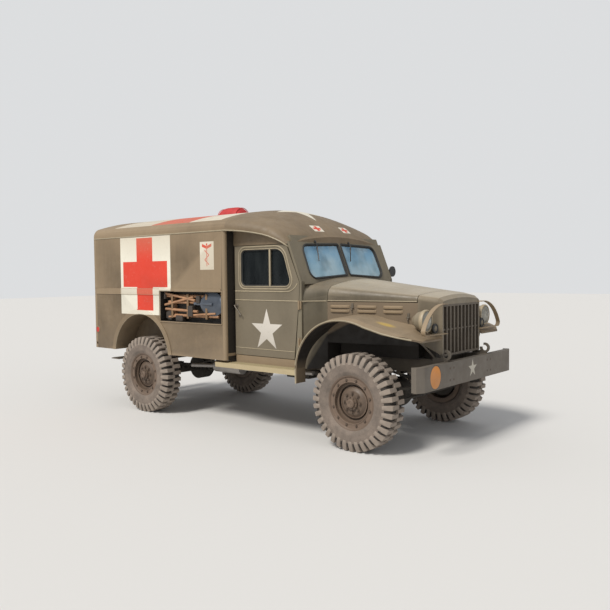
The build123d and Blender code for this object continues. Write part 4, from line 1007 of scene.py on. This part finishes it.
straps = Piece("tool_straps", strap_look)
for x in (-0.79, -0.52, -0.21):
    straps.box((x - 0.016, x + 0.016), (-0.921, -0.912), (1.150, 1.425), 0.003)
    for z in (1.180, 1.330, 1.400):
        loop = [(x, -0.886 - 0.021 * math.sin(a), z + 0.026 * math.cos(a)) for a in half_turn(8)]
        straps.tube(loop, 0.007, flat=0.5, up=FORWARD)
straps.done()
handles = Piece("tool_handles", wood)
for x0, z0, x1, z1, radius in (
    (-0.925, 1.432, -0.400, 1.352, 0.015), (-0.930, 1.296, -0.430, 1.392, 0.014),
    (-0.915, 1.250, -0.360, 1.232, 0.015), (-0.860, 1.160, -0.070, 1.216, 0.013),
):
    handles.rod((x0, -0.908, z0), (x1, -0.908, z1), radius)
handles.done()
clamps = Piece("tool_clamps", clamp_look)
for x, z, w, h in ((-0.66, 1.150, 0.060, 0.032), (-0.47, 1.235, 0.040, 0.060), (-0.34, 1.365, 0.030, 0.040)):
    clamps.box((x - w, x + w), (-0.930, -0.880), (z - h, z + h), 0.006)
clamps.box((-0.930, -0.905), (-0.925, -0.870), (1.365, 1.435), 0.004)
axe_head = ((-0.905, 1.215), (-0.820, 1.235), (-0.812, 1.125), (-0.905, 1.145))
clamps.slab(at_y(-0.915, axe_head), LEFTWARD, 0.020, 0.003)
clamps.done()

# Front: bumper bolts, the radiator's core and the fenders' stays
BUMPER_BOLT = ((0.013, -0.001), (0.012, 0.0004), (0.006, 0.0009), (0, 0.0010))
parts = Piece("bumper_bolts", bolt_look)
for y in (-0.415, -0.345, 0.345, 0.415):
    for z in (0.668, 0.776):
        parts.lathe((2.470, y, z), FORWARD, BUMPER_BOLT, 16)
parts.done()
core = Piece("radiator_core", core_look)
core.box((2.262, 2.272), (-0.292, 0.292), (0.905, 1.322), 0.003)
for i in range(29):
    y = -0.28 + 0.02 * i
    core.box((2.271, 2.277), (y - 0.003, y + 0.003), (0.91, 1.318), 0.0)
core.done()
stays = Piece("fender_stays", chassis)
for side in (-1, 1):
    line = ((2.235, 0.690, 1.070), (2.275, 0.560, 0.985), (2.300, 0.400, 0.860))
    stays.tube([(x, side * y, z) for x, y, z in line], 0.009)
stays.done()

# Rear and top: door handles, the step's treads and the ventilator's hood
REAR_HANDLE_BASE = ((0.022, -0.001), (0.022, 0.005), (0.012, 0.008), (0.011, 0.030))
for tag, side in SIDES:
    grip = Piece("rear_handle_" + tag, handle_look, "rear_door_" + tag)
    grip.lathe((-2.278, side * 0.075, 1.270), BACKWARD, REAR_HANDLE_BASE, 20)
    line = ((-2.306, 0.075, 1.275), (-2.310, 0.105, 1.245), (-2.307, 0.150, 1.195))
    grip.tube([(x, side * y, z) for x, y, z in line], 0.008, 10)
    grip.done()
treads = Piece("step_treads", chassis, "rear_step")
for i in range(5):
    x = -2.455 + 0.030 * i
    treads.box((x - 0.005, x + 0.005), (-0.58, 0.58), (0.5415, 0.5455), 0.001)
treads.done()
hood_vent = Piece("ventilator_hood", red_paint)
rows = []
for i in range(25):
    t = i / 24
    ends = max(0.0, 1 - abs(2 * t - 1) ** 4.5) ** 0.5
    x = -0.900 + 0.380 * t
    half, height = 0.128 * (0.55 + 0.45 * ends), 0.129 * (0.12 + 0.88 * ends)
    rows.append([(x, half * math.cos(a), 2.332 + height * math.sin(a)) for a in half_turn(16)])
    rows[-1] += [(x, -half, 2.318), (x, half, 2.318)]
hood_vent.rings(rows)
for x in (-0.865, -0.557):
    hood_vent.tube([(x, 0.124 * math.cos(a), 2.330 + 0.118 * math.sin(a)) for a in half_turn(16)], 0.004)
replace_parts(hood_vent.done(), "ventilator")


# Stage: a floor, and a sky that is paler to the camera than its light
floor_paint = Paint("floor_pale")
bpy.ops.mesh.primitive_plane_add(size=90, location=(0, 0, 0))
floor = bpy.context.object
floor.name = "stage_floor"
floor.data.materials.append(floor_paint.done((0.66, 0.65, 0.63, 1.0), 0.95))

world = bpy.data.worlds.new("studio")
scene.world = world
world.use_nodes = True
tree = world.node_tree
back = tree.nodes["Background"]
path = tree.nodes.new("ShaderNodeLightPath")
shade = tree.nodes.new("ShaderNodeMix")
shade.data_type = "RGBA"
# Input 6 is what the sky lights with, and 7 what the camera sees of it
shade.inputs[6].default_value = (0.46, 0.47, 0.49, 1)
shade.inputs[7].default_value = (0.72, 0.73, 0.74, 1)
tree.links.new(path.outputs["Is Camera Ray"], shade.inputs[0])
tree.links.new(shade.outputs[2], back.inputs[0])
back.inputs[1].default_value = 1.0


def sun(name, place, energy, spread, colour):
    """A soft sun that shines from a place towards the vehicle's middle."""
    data = bpy.data.lights.new(name, "SUN")
    data.energy = energy
    data.color = colour
    data.angle = spread
    thing = bpy.data.objects.new(name, data)
    scene.collection.objects.link(thing)
    thing.location = place
    thing.rotation_euler = (Vector((0, 0, 0.8)) - Vector(place)).to_track_quat("-Z", "Y").to_euler()


sun("key_sun", (-0.5, -7, 9), 2.9, 0.30, (1.0, 0.97, 0.92))
sun("fill_sun", (9, -2, 4), 0.25, 0.8, (0.95, 0.97, 1.0))

# Camera, as solved from the photograph
azimuth, pitch, roll = math.radians(39.98), math.radians(2.60), math.radians(-0.58)
CAMERA_AT = (5.4093, -5.9448, 1.6369)
FOCAL_PIXELS, PICTURE_WIDTH, SENSOR = 684.79, 610, 36
level = math.cos(pitch)
forward = Vector((-math.sin(azimuth) * level, math.cos(azimuth) * level, -math.sin(pitch)))
right = Vector((math.cos(azimuth), math.sin(azimuth), 0))
upward = right.cross(forward)
side_dir = math.cos(roll) * right + math.sin(roll) * upward
up_dir = -math.sin(roll) * right + math.cos(roll) * upward
camera_data = bpy.data.cameras.new("camera")
camera = bpy.data.objects.new("camera", camera_data)
scene.collection.objects.link(camera)
turn = Matrix((side_dir, up_dir, -forward)).transposed()
camera.matrix_world = Matrix.Translation(CAMERA_AT) @ turn.to_4x4()
camera_data.sensor_width = SENSOR
camera_data.lens = FOCAL_PIXELS / PICTURE_WIDTH * SENSOR
scene.camera = camera

scene.view_settings.view_transform = "Standard"
